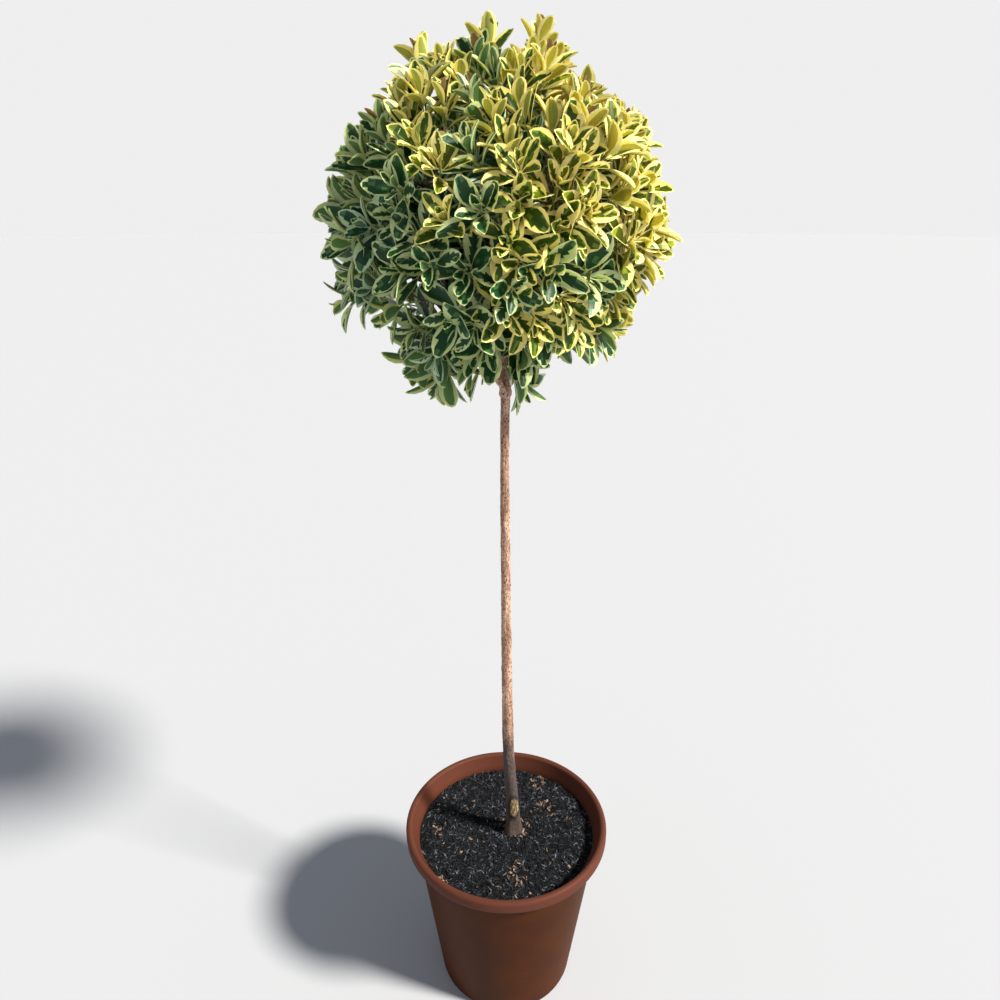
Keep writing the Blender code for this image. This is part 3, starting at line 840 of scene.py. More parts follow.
# %% Bark
TAN, PALE_TAN = (0.30, 0.155, 0.100), (0.60, 0.390, 0.290)
BROWN, FLECK, SPOT = (0.25, 0.135, 0.085), (0.135, 0.066, 0.042), (0.032, 0.022, 0.017)
DARK_FOOT, DARK_FOOT_FADES, DARK_FOOT_ENDS = (0.030, 0.024, 0.025), 0.49, 0.60  # its colour, and the heights where it ends
WOOD, WOOD_GRAIN, CUT_RIM = (0.36, 0.28, 0.125), (0.085, 0.055, 0.030), (0.012, 0.010, 0.010)
STUB_SQUASH = 0.42  # the cut is longer than it is wide, so its height is squashed before it is measured


def bark_finish():
    finish = Finish("bark")
    patch = finish.clouds(finish.place((1, 1, 0.28)), 90.0, 4.0, 0.6)
    broad = finish.clouds(finish.place((1, 1, 0.5)), 16.0, 2.0)
    grain = finish.clouds(finish.place((1, 1, 0.12)), 620.0, 4.0, 0.6)
    flecks = finish.clouds(finish.place((1, 1, 0.55)), 430.0, 3.0, 0.65)
    spots = finish.cells(finish.place((1, 1, 0.6)), 230.0)
    colour = finish.mix(finish.between(patch, 0.40, 0.60), TAN, PALE_TAN)
    colour = finish.mix(finish.between(broad, 0.44, 0.58) * 0.6, colour, BROWN)
    colour = finish.mix(finish.between(flecks, 0.49, 0.60) * 0.8, colour, FLECK)
    spotted = (1 - finish.between(spots, 0.14, 0.34)) * finish.between(broad + patch * 0.4, 0.48, 0.66)
    colour = finish.mix(spotted * 0.9, colour, SPOT)
    # the bark is darker and greyer towards the foot, below these heights
    damp = 1 - finish.between(finish.height() + (patch - 0.5) * 0.10, DARK_FOOT_FADES, DARK_FOOT_ENDS)
    colour = finish.mix(damp * 0.90, colour, DARK_FOOT)
    cut = STUB_PLACE.x, STUB_PLACE.y, STUB_PLACE.z * STUB_SQUASH
    where = finish.place((1, 1, STUB_SQUASH))
    from_cut = finish.node("ShaderNodeVectorMath", {"operation": "DISTANCE"}, where, cut)
    from_cut = from_cut + (patch - 0.5) * 0.010
    colour = finish.mix(1 - finish.between(from_cut, 0.0105, 0.0135), colour, CUT_RIM)
    wood = finish.mix(finish.between(grain, 0.38, 0.54), WOOD, WOOD_GRAIN)
    colour = finish.mix(1 - finish.between(from_cut, 0.0075, 0.0095), colour, wood)
    finish.wire("Base Color", colour)
    finish.wire("Roughness", 0.78 + grain * 0.15)
    finish.bump(grain * 0.4 - flecks * 0.9 - spotted * 0.6 + patch * 0.4, 0.0014, 0.8)
    return finish.material


# %% The trunk
bark = bark_finish()
trunk_skin = tube("trunk_bark", trunk_rings(fine_steps), TRUNK_SIDES, trunk_relief())
trunk = add_object("trunk_bark", trunk_skin, bark)
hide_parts("trunk")
print("the trunk has", len(trunk.data.polygons), "faces")

# %% [markdown]
# ## The head's plan
#
# The head is an egg-round surface that the leaves' tips reach. Nine masses of leaves share it: four low, four
# high and one on top. Each mass has its own space, which is all that is nearer to its middle than to any
# other's, and one bough goes from the trunk into it. The head's middle and radii, the masses and the paths
# of the boughs are the source's.

# %% Masses and boughs
HEAD_CENTRE = Vector((-0.013, 0.0, 1.417))
HEAD_RADII = Vector((0.245, 0.240, 0.236))
TIERS = (
    # name, count, first azimuth, elevation, share of the radii, height of the lowest root, rise, sag
    ("low", 4, 250, -42, 0.62, 1.172, 0.0095, 0.16),
    ("high", 4, 205, 20, 0.60, 1.222, 0.0095, 0.09),
    ("top", 1, 0, 90, 0.64, 1.275, 0.0, 0.0),
)
BOUGH_ORDER_STEP = 2  # neighbours round the trunk don't leave it at neighbouring heights
BOUGH_SWAY = 0.07
BOUGH_RINGS = 70
BOUGH_ENTRY = 0.012  # how far a bough goes into its mass's space


def spherical(azimuth, elevation):
    a, e = math.radians(azimuth), math.radians(elevation)
    return Vector((math.cos(e) * math.cos(a), math.cos(e) * math.sin(a), math.sin(e)))


def scaled_to_head(direction, share):
    return HEAD_CENTRE + Vector(d * r * share for d, r in zip(direction, HEAD_RADII))


def space_depth(point, index, masses):
    """How far a point is inside the space of one mass."""
    near = masses[index]["middle"]
    others = [mass["middle"] for k, mass in enumerate(masses) if k != index]
    return min(
        ((point - other).length_squared - (point - near).length_squared) / (2 * (near - other).length)
        for other in others
    )


def bezier(start, middle, end, steps):
    shares = [i / steps for i in range(steps + 1)]
    return [start * (1 - t) ** 2 + middle * 2 * t * (1 - t) + end * t**2 for t in shares]


def plan_masses():
    """One dictionary for each mass: its name, the middle of its space and the path of its bough."""
    masses = []
    for tier, count, azimuth, elevation, share, lowest, rise, sag in TIERS:
        for i in range(count):
            name = tier if count == 1 else f"{tier}_{i + 1}"
            middle = scaled_to_head(spherical(azimuth + 360 * i / count, elevation), share)
            root = trunk_point(lowest + rise * ((i * BOUGH_ORDER_STEP) % count))
            sway = BOUGH_SWAY * (-1) ** i
            masses.append({"name": name, "middle": middle, "root": root, "sag": sag, "sway": sway})
    for index, mass in enumerate(masses):
        root, middle = mass["root"], mass["middle"]
        shares = [i / 40 for i in range(8, 36)]
        entries = [t for t in shares if space_depth(root.lerp(middle, t), index, masses) > BOUGH_ENTRY]
        tip = root.lerp(middle, entries[0] if entries else shares[-1])
        along = tip - root
        aside = along.orthogonal().normalized() * mass["sway"] - UP * mass["sag"]
        mass["path"] = bezier(root, (root + tip) / 2 + aside * along.length, tip, BOUGH_RINGS)
    return masses


masses = plan_masses()
print(len(masses), "masses:", [mass["name"] for mass in masses])

# %% Skins of the boughs
BOUGH_ROOT_RADIUS = 0.0052
BOUGH_TIP_RADIUS = 0.0032
COLLAR_SWELL, COLLAR_PLACE, COLLAR_REACH = 0.0030, 0.008, 0.007
NODE_SWELL, NODE_SPACING, NODE_REACH = 0.0004, 0.024, 0.0025
STEM_FOOT = 0.010


def bough_relief(seed):
    """A swollen collar where the bough leaves the trunk, then nodes and fine bark."""

    def relief(along, out, middle):
        collar = COLLAR_SWELL * math.exp(-(((along - COLLAR_PLACE) / COLLAR_REACH) ** 2))
        from_node = (along + seed * 0.003) % NODE_SPACING - NODE_SPACING / 2
        node = NODE_SWELL * math.exp(-((from_node / NODE_REACH) ** 2))
        return collar + node + bark_grain(middle + out * 0.005) * 0.8

    return relief


def bough_rings(mass):
    """The bough's rings, carried on into the stem of its mass so that no joint shows."""
    path = mass["path"]
    heading = (path[-1] - path[-2]).normalized()
    points = path + [path[-1] + heading * STEM_FOOT * k / 4 for k in range(1, 5)]
    last = len(path) - 1
    return [
        (point, BOUGH_ROOT_RADIUS + (BOUGH_TIP_RADIUS - BOUGH_ROOT_RADIUS) * min(1.0, i / last))
        for i, point in enumerate(points)
    ]


boughs = []
for number, mass in enumerate(masses):
    skin = tube(f"bough_{mass['name']}_bark", bough_rings(mass), BOUGH_SIDES, bough_relief(number))
    bough = add_object(skin.name, skin, bark)
    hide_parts(f"bough_{mass['name']}")
    boughs.append(bough)
print(len(boughs), "boughs of", len(boughs[0].data.polygons), "faces")

# %% [markdown]
# ## Shoots
#
# Leafy shoots end close under the head's surface. Their directions are spread evenly by the golden angle and
# then moved a little, some stop deeper inside, and a few are missing where the head is thin. This is the
# source's rule with far more shoots, because the leaves here are at their real size. Broad swellings and
# hollows and a few single sprigs give the outline the unevenness of a plant that was clipped by hand. Each
# shoot belongs to the mass whose space its tip is in.

# %% Where the shoots end
SWELLINGS = (  # azimuth, elevation, gain in reach and half-width, with angles in degrees
    (187, 46, -0.16, 12), (0, 58, -0.07, 12), (170, 60, 0.03, 12), (135, 40, -0.05, 18), (200, 30, -0.02, 14),
    (350, 38, -0.08, 19), (348, -27, 0.06, 10), (190, 10, 0.05, 8), (190, -6, -0.09, 8), (195, -25, 0.05, 18),
    (245, -52, 0.06, 16),
)
SPRIGS = (  # azimuth, elevation and reach
    (-15, 77, 1.11), (200, 69, 1.02), (15, 71, 1.05), (-110, 80, 1.05), (180, 64, 1.06), (182, -27, 1.15),
    (224, -63, 1.13), (206, -56, 1.10), (243, -67, 1.06), (292, -70, 1.10), (-2, -8, 1.05), (-5, -42, 1.01),
)
THIN_PLACES = ((188, -40, 17), (320, -50, 10), (228, -25, 17), (128, -24, 20), (283, 3, 7))
THINNED = 0.9  # the share of shoots that is missing in the middle of a thin place
SEED = 12
SHOOTS = 350
SHOOT_JITTER = 0.35
CLUMP_DEPTH, CLUMPS_ROUND = 0.11, 4.0  # how unevenly far the shoots reach
FULL_REACH, MOST_REACH = (0.95, 1.0), 1.06
INNER_SHOOT_SHARE, INNER_SHOOT_DEPTH = 0.27, 0.66
LOWEST_SHOOT_ELEVATION = -66
TWIG_UPTURN, LEAST_UPTURN, UPTURN_RISE = 0.48, 0.7, 2.2  # shoots on top grow more upright
LEAF_LENGTH = 0.061  # with its stalk
LEAF_WIDTH = 0.0275
LEAF_OVERHANG = LEAF_LENGTH * math.cos(math.radians(16)) * 0.66  # how far the leaves go past their shoot


def bell(direction, azimuth, elevation, half_width):
    """1 in one direction, falling off to 0 at several half-widths from it."""
    apart = math.degrees(direction.angle(spherical(azimuth, elevation)))
    return math.exp(-((apart / half_width) ** 2))


def reach(direction):
    """How far the leaves go in a direction, as a share of the head's radii."""
    gains = (gain * bell(direction, *place, width) for *place, gain, width in SWELLINGS)
    return 1 + sum(gains)


def shoot_of(direction, share):
    """The shoot whose leaves reach a share of the head's radii in a direction."""
    upturn = TWIG_UPTURN * (LEAST_UPTURN + UPTURN_RISE * max(direction.z, -0.3))
    axis = (direction + UP * upturn).normalized()
    tip = scaled_to_head(direction, share) - direction * LEAF_OVERHANG * max(direction.dot(axis), 0.5)
    return {"tip": tip, "axis": axis, "direction": direction, "share": share}


# %% Spread the shoots
def head_shoots(count, seed):
    """All shoots: the single ones that stand out, and the even, thinned cover."""
    chance = random.Random(seed)
    spacing = math.sqrt(4 * math.pi / count)
    golden = math.pi * (3 - math.sqrt(5))
    shoots = [shoot_of(spherical(azimuth, elevation), share) for azimuth, elevation, share in SPRIGS]
    for i in range(count):
        z = 1 - 2 * (i + 0.5) / count
        ring = math.sqrt(1 - z * z)
        direction = Vector((ring * math.cos(golden * i), ring * math.sin(golden * i), z))
        moved = Vector(chance.gauss(0, 1) for _ in range(3)) * spacing * SHOOT_JITTER / 2
        direction = (direction + moved).normalized()
        inner = chance.random() < INNER_SHOOT_SHARE
        depth = INNER_SHOOT_DEPTH if inner else chance.uniform(*FULL_REACH)
        if math.degrees(math.asin(direction.z)) < LOWEST_SHOOT_ELEVATION:
            continue
        if not any(chance.random() < THINNED * bell(direction, *place) for place in THIN_PLACES):
            clump = 1 + CLUMP_DEPTH * noise.noise(direction * CLUMPS_ROUND)
            shoots.append(shoot_of(direction, min(reach(direction) * depth * clump, MOST_REACH)))
    return shoots


shoots = head_shoots(SHOOTS, SEED)
print(len(shoots), "shoots")

# %% [markdown]
# ## Twigs
#
# In the source, twigs fork from one stem in the middle of each mass, each twig bends up towards its shoot's
# tip, and it carries the leaves. Here a branch forks from the stem for every few neighbouring shoots, and
# finer twigs fork from the branch. Every path ends as a row of points with a radius at each. Geometry Nodes
# turns such rows into limbs: mesh edges become curves, and a round profile is swept along them.

# %% Paths from the stem to the shoots
BRANCH_SHOOTS = 4
STEM_RADII, BRANCH_RADII = (0.0032, 0.0022), (0.0024, 0.0017)
TWIG_RADII, SHOOT_RADII = (0.0015, 0.0011), (0.0012, 0.0008)
BRANCHES_FROM, BRANCHES_OVER = 0.08, 0.90  # where on the stem the branches fork, as shares of its length
BRANCH_BOW, BRANCH_RISE = 0.012, 0.006
FORK_SHARE = 0.46
TWIG_STRAIGHT = 0.42
PATH_STEPS = 8
GREEN_LENGTH = 0.050


def tapering(points, radii):
    """(point, radius) pairs with the radius going evenly from the first to the last."""
    last = len(points) - 1
    return [(point, radii[0] + (radii[1] - radii[0]) * i / last) for i, point in enumerate(points)]


def bunches(waiting, size):
    """Neighbouring shoots in groups: the first that waits, with those nearest to it."""
    groups = []
    while waiting:
        first = waiting[0]["tip"]
        waiting = sorted(waiting, key=lambda shoot: (shoot["tip"] - first).length)
        groups.append(waiting[:size])
        waiting = waiting[size:]
    return groups


def grow_twigs(index, chance):
    """The brown and green paths of one mass. Each shoot also keeps its own path, for its leaves."""
    path, middle = masses[index]["path"], masses[index]["middle"]
    foot = path[-1]
    start = foot + (foot - path[-2]).normalized() * STEM_FOOT
    rise = (middle - start).normalized()
    end = middle + rise * STEM_FOOT
    brown, green = [tapering(bezier(foot, start, end, PATH_STEPS), STEM_RADII)], []
    inside = [shoot for shoot in shoots if space_depth(shoot["tip"], index, masses) > 0]
    groups = bunches(sorted(inside, key=lambda shoot: (shoot["tip"] - start).dot(rise)), BRANCH_SHOOTS)
    for rank, group in enumerate(groups):
        root = start.lerp(end, BRANCHES_FROM + BRANCHES_OVER * (rank + 0.5) / len(groups))
        target = sum((shoot["tip"] for shoot in group), Vector()) / len(group)
        fork = root.lerp(target, FORK_SHARE)
        bow = (target - root).orthogonal().normalized() * chance.uniform(-BRANCH_BOW, BRANCH_BOW)
        bend = root.lerp(fork, 0.5) + bow + rise * BRANCH_RISE
        brown.append(tapering(bezier(root, bend, fork, PATH_STEPS), BRANCH_RADII))
        for shoot in group:
            tip = shoot["tip"]
            bend = tip - shoot["axis"] * (tip - fork).length * TWIG_STRAIGHT
            points = bezier(fork, bend, tip, PATH_STEPS)
            shoot["path"] = points
            split = next(i for i, p in enumerate(points) if (p - tip).length < GREEN_LENGTH)
            if split > 0:
                brown.append(tapering(points[: split + 1], TWIG_RADII))
            green.append(tapering(points[split:], SHOOT_RADII))
    return brown, green


brown_paths, green_paths = [], []
for index in range(len(masses)):
    brown, green = grow_twigs(index, random.Random(SEED * 100 + index))
    brown_paths += brown
    green_paths += green
print(len(brown_paths), "brown twigs and", len(green_paths), "green shoots")

# %% Sweep the paths
TWIG_BROWNS = (0.17, 0.115, 0.07), (0.07, 0.045, 0.03)
SHOOT_GREENS = (0.36, 0.40, 0.13), (0.17, 0.24, 0.06)
TWIG_SIDES, SHOOT_SIDES = 7, 6


def twig_recipe():
    recipe = Recipe("twigs from paths", Sides="Int", Finish="Material")
    curves = recipe.node("GeometryNodeMeshToCurve", Mesh=recipe.start)
    profile = recipe.node("GeometryNodeCurvePrimitiveCircle", Resolution=recipe.given("Sides"), Radius=1.0)
    swept = recipe.node(
        "GeometryNodeCurveToMesh", Curve=curves, Profile_Curve=profile, Scale=recipe.attribute("thick"),
        Fill_Caps=True,
    )
    smooth = recipe.node("GeometryNodeSetShadeSmooth", Geometry=swept)
    real = recipe.node("GeometryNodeRealizeInstances", Geometry=smooth)
    recipe.finish(recipe.painted(real, recipe.given("Finish")))
    return recipe


def paths_mesh(name, paths):
    """Rows of points as mesh edges, with each point's radius in an attribute."""
    points, edges, radii = [], [], []
    for path in paths:
        edges += [(len(points) + i, len(points) + i + 1) for i in range(len(path) - 1)]
        points += [point for point, _ in path]
        radii += [radius for _, radius in path]
    mesh = bpy.data.meshes.new(name)
    mesh.from_pydata(points, edges, [])
    mesh.attributes.new("thick", "FLOAT", "POINT").data.foreach_set("value", radii)
    return mesh


def twig_finish(name, light, dark):
    finish = Finish(name)
    streaks = finish.clouds(finish.place(), 300.0, 3.0)
    finish.wire("Base Color", finish.mix(finish.between(streaks, 0.35, 0.65), light, dark))
    finish.wire("Roughness", 0.5 + streaks * 0.3)
    finish.bump(streaks, 0.0004, 0.5)
    return finish.material


sweep = twig_recipe()
twig_bark = twig_finish("twig bark", *TWIG_BROWNS)
shoot_skin = twig_finish("green shoot", *SHOOT_GREENS)
brown_mesh, green_mesh = paths_mesh("brown", brown_paths), paths_mesh("green", green_paths)
twigs = grown_by(sweep, "twigs_brown", brown_mesh, Sides=TWIG_SIDES, Finish=twig_bark)
green_shoots = grown_by(sweep, "shoots_green", green_mesh, Sides=SHOOT_SIDES, Finish=shoot_skin)

# %% [markdown]
# ## One leaf
#
# The leaf is thick and glossy, widest past its middle, wedge-shaped towards its short stalk and bluntly
# pointed. It is folded along its midrib, cupped, and its tip bends back. Its middle is dark green, with paler
# patches, and an uneven margin is cream or yellow. Where the green ends is part of the shape here: it follows
# the edges of the faces, so each face has one tone, and every leaf stays crisp however many there are. A leaf
# is a closed skin of two layers that meet at its edge. Several shapes differ in fold, bend and margin.

# %% Tones and widths of a leaf
BLADE_ROWS = (0.07, 0.25, 0.43, 0.62, 0.80, 0.94)  # shares of the blade's length
ROUND = 10  # points round each row: seven on the upper side and three underneath
STALK_LENGTH, STALK_HALF_WIDTH = 0.006, 0.0011
LEAF_THICKNESS = 0.0006
LEAF_SHARP = 42  # degrees
UNDER_COLUMN = 0.55
DARK, MIDDLE, MARGIN, UNDER = range(4)
TONES = ("Dark", "Middle", "Margin", "Under")
CORE_TONES = (MIDDLE, DARK, DARK, DARK, DARK, DARK)
LEAF_KINDS = 12
LEAST_GREEN, MOST_GREEN = 0.46, 0.80  # how far out the green middle goes, as a share of the half-width
GREEN_UNEVEN, GREEN_WITHIN = 0.17, (0.30, 0.92)


def outline_width(share):
    """Half the blade's width at a share of its length, as a share of the greatest."""
    wedge, point = 1.02, 0.73
    peak = wedge / (wedge + point)
    return share**wedge * (1 - share) ** point / (peak**wedge * (1 - peak) ** point)


def green_edge(green_share, chance):
    least, most = GREEN_WITHIN
    return min(most, max(least, green_share + chance.uniform(-GREEN_UNEVEN, GREEN_UNEVEN)))


def panels_between(column, level, corners, chance):
    """(face, tone) pairs between two rows in a column, which are counted round the leaf from one edge.

    The outer green columns, 1 and 4, are split along the side veins, which run outwards and forwards, so that
    the green ends in teeth.
    """
    if column in (7, 8):
        return [(corners, UNDER)]
    if column in (0, 5, 6, 9):
        return [(corners, MARGIN)]
    if column in (2, 3):
        return [(corners, chance.choice(CORE_TONES))]
    low_a, low_b, high_b, high_a = corners
    if column == 1:
        behind, ahead = (low_b, high_a, low_a), (low_b, high_b, high_a)
    else:
        behind, ahead = (low_a, low_b, high_b), (low_a, high_b, high_a)
    near_tip = level == len(BLADE_ROWS) - 2
    return [(behind, chance.choice((MARGIN, MIDDLE, DARK))), (ahead, MIDDLE if near_tip else DARK)]


# %% A leaf's mesh
def leaf_shape(name, chance, green_share):
    """A leaf with its stalk's foot at the origin, its length on X and its upper face up."""
    blade = LEAF_LENGTH - STALK_LENGTH
    fold = chance.uniform(0.12, 0.48)
    cup = chance.uniform(-0.10, 0.22)
    droop = chance.uniform(0.02, 0.20)
    lift = chance.uniform(0.0, 0.10)
    bend = chance.uniform(-0.05, 0.05)
    twist = chance.uniform(-0.25, 0.25)
    width = LEAF_WIDTH * chance.uniform(0.82, 1.03)

    def placed(share, across, drop=0.0):
        """A point of the blade: across is -1 at one edge, 0 on the midrib and 1 at the other edge."""
        half = max(width / 2 * outline_width(share), STALK_HALF_WIDTH)
        rise = half * (fold * abs(across) + cup * across * across) - drop
        turn = twist * share
        y = half * across
        aside = y * math.cos(turn) - rise * math.sin(turn) + blade * bend * math.sin(math.pi * share)
        up = y * math.sin(turn) + rise * math.cos(turn) + blade * (lift * share - droop * share**2.2)
        return Vector((STALK_LENGTH + blade * share, aside, up))

    points = [Vector((0, 0, 0))]
    rows = []
    for share in BLADE_ROWS:
        left, right = green_edge(green_share, chance), green_edge(green_share, chance)
        core = chance.uniform(0.42, 0.68)
        upper = (-1, -left, -left * core, 0, right * core, right, 1)
        under = (0.5 * (UNDER_COLUMN + right), 0, -0.5 * (UNDER_COLUMN + left))
        rows.append([len(points) + k for k in range(ROUND)])
        points += [placed(share, across) for across in upper]
        points += [placed(share, across, LEAF_THICKNESS) for across in under]
    tip = len(points)
    points.append(placed(0.9999, 0))
    panels = []
    for k in range(ROUND):
        n = (k + 1) % ROUND
        panels.append(((0, rows[0][n], rows[0][k]), MARGIN if k < 6 else UNDER))
        panels.append(((tip, rows[-1][k], rows[-1][n]), MARGIN))
        for level, (low, high) in enumerate(zip(rows, rows[1:])):
            panels += panels_between(k, level, (low[k], low[n], high[n], high[k]), chance)
    mesh = smooth_mesh(name, points, [face for face, _ in panels], LEAF_SHARP)
    tones = [tone for _, tone in panels]
    mesh.attributes.new("tone", "INT", "FACE").data.foreach_set("value", tones)
    return bpy.data.objects.new(name, mesh)


def leaf_shelf():
    """Leaves in order of their green share, from a narrow green middle to a narrow margin."""
    chance = random.Random(SEED)
    leaves = []
    for k in range(LEAF_KINDS):
        share = LEAST_GREEN + (MOST_GREEN - LEAST_GREEN) * k / (LEAF_KINDS - 1)
        leaves.append(leaf_shape(f"leaf_{k:02d}", chance, share))
    return shelf("leaf_shapes", leaves)


# %% [markdown]
# ## Leaves on their shoots
#
# The leaves are set in pairs, each pair crosswise to the last. They are packed close at a shoot's tip, where
# the youngest are small and still upright, and further back they are full-sized and spread until they stand
# square to the twig. A leaf turns its face up to the light. Every shoot is dealt one of four tints by its
# place.
# Towards the lamp and on the outside its leaves are fresher with a golden margin, partly as young growth and
# partly as painted sunlight. Inside, low on the head and away from the lamp they are bluer with a pale green
# margin, as painted shade. On top of the head, some of the youngest leaves have dried in the sun.

# %% Places of the leaves
PAIRS = (  # metres back from the shoot's tip, degrees between leaf and twig, and size
    (0.001, 15, 0.50), (0.006, 34, 0.74), (0.012, 50, 0.95), (0.020, 63, 1.0), (0.030, 75, 0.95),
)
UPRIGHT_ABOVE = 0.42  # how much less the leaves spread on top of the head
SMALLER_ABOVE = 0.17
VIGOUR, GROWTH = (0.84, 1.12), (0.88, 1.08)  # how the sizes of shoots' leaves and of single leaves differ
FACE_UP = 0.15
AROUND_SPREAD, ANGLE_SPREAD, FACE_SPREAD = 0.16, 7, 0.12  # radians, degrees and a share
DRY_ABOVE, DRY_SHARE = 0.5, 0.4  # how high on the head, and how many of the smallest leaves, are dry
DRY_LENGTH = 1.25  # a dry leaf was a larger one before it withered
BOX_MARGIN = 0.001
# the lamp's side of the head: shoots towards it get lighter, warmer tints, partly as painted sunlight
SUNNY = Vector((0.80, -0.30, 0.75)).normalized()
# leaves deeper in the head get darker tints, as painted shade
OUTERMOST, DEPTH_SHADE = 0.97, 2.0  # leaves that start deeper in the head are darker
TINTS = {  # with the first and last leaf shape that each tint uses
    "golden": (0, 7), "fresh": (1, 9), "mature": (3, 11), "shaded": (5, 11), "dry": (0, 11),
}
SUNNIER_THAN = {"golden": 0.38, "fresh": 0.08, "mature": -0.30}
SUN_WEIGHT, SUN_SPREAD = 0.5, 0.15  # how much the side of the head and chance count


def back_along(points, distance):
    """(point, heading) on a path, a distance before its end."""
    for start, end in reversed(list(zip(points, points[1:]))):
        length = (end - start).length
        if distance <= length:
            return end.lerp(start, distance / length), (end - start).normalized()
        distance -= length
    return points[0], (points[1] - points[0]).normalized()


def tint_of(shoot, chance):
    """Which tint a shoot's leaves have: painted sunlight on the lamp's side and outside, painted shade
    within.
    """
    outer = (shoot["share"] - OUTERMOST) * DEPTH_SHADE
    sunny = shoot["direction"].dot(SUNNY) * SUN_WEIGHT + outer + chance.gauss(0, SUN_SPREAD)
    return next((tint for tint, least in SUNNIER_THAN.items() if sunny > least), "shaded")


def inside_box(point):
    limits = zip(point, cad_low, cad_high)
    return all(low + BOX_MARGIN < value < high - BOX_MARGIN for value, low, high in limits)


# %% Deal the leaves
def leaves_on(shoot, tint, chance):
    """The tint and (root, turn, size, shape) of each leaf of a shoot."""
    path, height = shoot["path"], shoot["direction"].z
    side = (path[-1] - path[-2]).orthogonal().normalized()
    first_turn = chance.uniform(0, math.pi)
    vigour = chance.uniform(*VIGOUR) * (1 - SMALLER_ABOVE * max(height, 0))
    openness = 1 - UPRIGHT_ABOVE * max(height + 0.15, 0)
    leaves = []
    for number, (place, angle, size) in enumerate(PAIRS):
        node, axis = back_along(path, place)
        across = (side - axis * side.dot(axis)).normalized()
        for half_turn in (0, 1):
            around = first_turn + math.pi * (half_turn + number / 2) + chance.gauss(0, AROUND_SPREAD)
            outwards = Matrix.Rotation(around, 3, axis) @ across
            spread = math.radians(angle * openness + chance.gauss(0, ANGLE_SPREAD))
            along = axis * math.cos(spread) + outwards * math.sin(spread)
            face = axis * math.sin(spread) - outwards * math.cos(spread) + UP * FACE_UP * math.sin(spread)
            face = face + Vector(chance.gauss(0, FACE_SPREAD) for _ in range(3))
            dry = number == 0 and height > DRY_ABOVE and chance.random() < DRY_SHARE
            grown = size * vigour * chance.uniform(*GROWTH) * (DRY_LENGTH if dry else 1)
            while not inside_box(node + along.normalized() * LEAF_LENGTH * grown):
                grown *= 0.93
            kind = "dry" if dry else tint
            leaves.append((kind, (node, leaf_turn(along, face), grown, chance.randint(*TINTS[kind]))))
    return leaves


def leaf_turn(along, face):
    """The turn that puts a leaf's length along a direction, with its upper face towards another."""
    x = along.normalized()
    y = face.cross(x).normalized()
    return Matrix((x, y, x.cross(y))).transposed().to_euler()


dealt = {tint: [] for tint in TINTS}
chance = random.Random(SEED + 4)
for shoot in shoots:
    if "path" in shoot:
        for tint, leaf in leaves_on(shoot, tint_of(shoot, chance), chance):
            dealt[tint].append(leaf)
print({tint: len(leaves) for tint, leaves in dealt.items()}, "leaves")

# %% [markdown]
# A real leaf has a waxy skin, and in the sun it glows, because some of the light goes into it and through it.
# So each tone is a plain colour with a soft gloss and some subsurface scattering, which spreads red and green
# light further than blue. The tones of one tint belong together, and the golden one is the warmest.

# %% Leaf finishes
# the first two tints are partly painted sunlight and the next two painted shade; the dry one is the leaves'
# own
LEAF_COLOURS = {  # dark, middle, margin and underside
    "golden": ((0.058, 0.090, 0.002), (0.24, 0.30, 0.016), (0.95, 0.81, 0.29), (0.44, 0.42, 0.058)),
    "fresh": ((0.026, 0.068, 0.004), (0.125, 0.20, 0.020), (0.85, 0.72, 0.22), (0.30, 0.34, 0.070)),
    "mature": ((0.007, 0.047, 0.014), (0.050, 0.14, 0.044), (0.49, 0.58, 0.27), (0.092, 0.20, 0.070)),
    "shaded": ((0.005, 0.036, 0.017), (0.034, 0.118, 0.060), (0.37, 0.51, 0.30), (0.062, 0.152, 0.080)),
    "dry": ((0.090, 0.065, 0.018), (0.13, 0.085, 0.030), (0.20, 0.105, 0.048), (0.15, 0.095, 0.045)),
}
UPPER_ROUGHNESS, UNDER_ROUGHNESS = 0.40, 0.58
LEAF_GLOW = 0.35  # how much light passes into and through the leaf
GLOW_SPREAD, GLOW_REACH = (1.0, 0.8, 0.25), 0.002


def leaf_finishes(tint):
    """Four plain, glossy tones of one tint. As they are plain, each face keeps its own in the export."""
    made = {}
    for tone, colour in zip(TONES, LEAF_COLOURS[tint]):
        finish = Finish(
            f"leaf {tint} {tone.lower()}", Base_Color=(*colour, 1), Specular_IOR_Level=0.26,
            Roughness=UNDER_ROUGHNESS if tone == "Under" else UPPER_ROUGHNESS,
            Subsurface_Weight=LEAF_GLOW, Subsurface_Radius=GLOW_SPREAD, Subsurface_Scale=GLOW_REACH,
        )
        made[tone] = finish.material
    return made


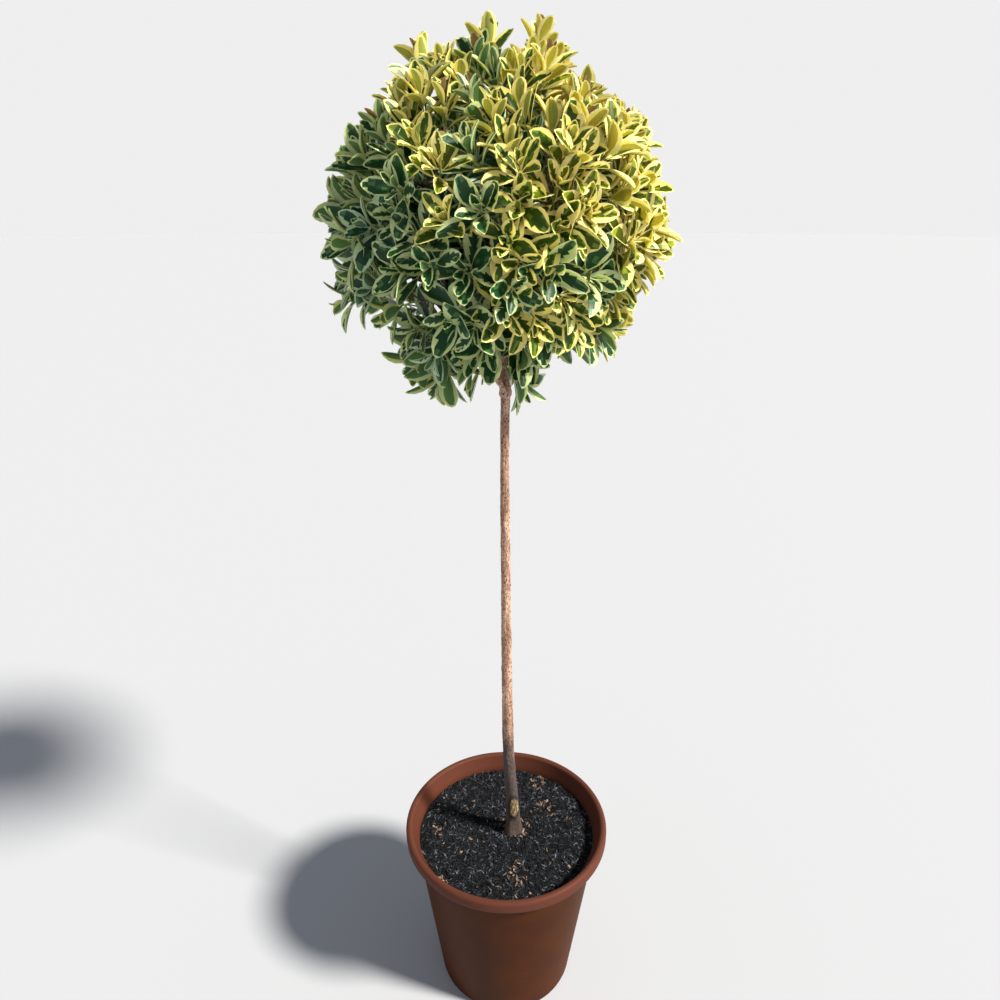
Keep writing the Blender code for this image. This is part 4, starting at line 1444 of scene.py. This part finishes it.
finishes = {tint: leaf_finishes(tint) for tint in TINTS}
print("the leaves have", sum(len(tones) for tones in finishes.values()), "finishes")

# %% [markdown]
# Each dealt leaf is only a loose point so far, which carries a turn, a size and the number of a shape. The
# recipe sets the leaf of that number on each point, and then it gives every face the finish of its tone.

# %% Place the leaves
def leaf_recipe():
    recipe = Recipe("leaves on points", Shapes="Collection", **dict.fromkeys(TONES, "Material"))
    shape, turn = recipe.attribute("shape", "INT"), recipe.attribute("turn", "FLOAT_VECTOR")
    painted = recipe.set_out(recipe.start, shape, turn, recipe.attribute("size"))
    tone = recipe.attribute("tone", "INT")
    for number, name in enumerate(TONES):
        same = {"data_type": "INT", "operation": "EQUAL"}
        chosen = recipe.node("FunctionNodeCompare", same, A=tone, B=number)
        painted = recipe.painted(painted, recipe.given(name), chosen)
    recipe.finish(painted)
    return recipe


def leaf_points(name, leaves):
    """The leaves' roots as loose points, with each leaf's turn, size and shape as attributes."""
    roots, turns_of, sizes, shapes = zip(*leaves)
    mesh = bpy.data.meshes.new(name)
    mesh.from_pydata(roots, [], [])
    turn = mesh.attributes.new("turn", "FLOAT_VECTOR", "POINT")
    turn.data.foreach_set("vector", [value for turn_of in turns_of for value in turn_of])
    mesh.attributes.new("size", "FLOAT", "POINT").data.foreach_set("value", sizes)
    mesh.attributes.new("shape", "INT", "POINT").data.foreach_set("value", shapes)
    return mesh


leaf_shapes = leaf_shelf()
placing = leaf_recipe()
foliage = []
for tint in TINTS:
    points = leaf_points(tint, dealt[tint])
    foliage.append(grown_by(placing, f"leaves_{tint}", points, Shapes=leaf_shapes, **finishes[tint]))
clear_shelf(leaf_shapes)

# %% [markdown]
# ## The one body
#
# Every piece rides on the one body. The leaves and twigs together stand for the source's masses of leaves.

# %% Ride and replace
nodes_of_leaves = [f"foliage_{mass['name']}" for mass in masses]
for piece in (twigs, green_shoots, *foliage):
    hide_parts(*nodes_of_leaves)
for piece in (pot, bed, *litter, trunk, *boughs, twigs, green_shoots, *foliage):
    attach(piece, BODY)
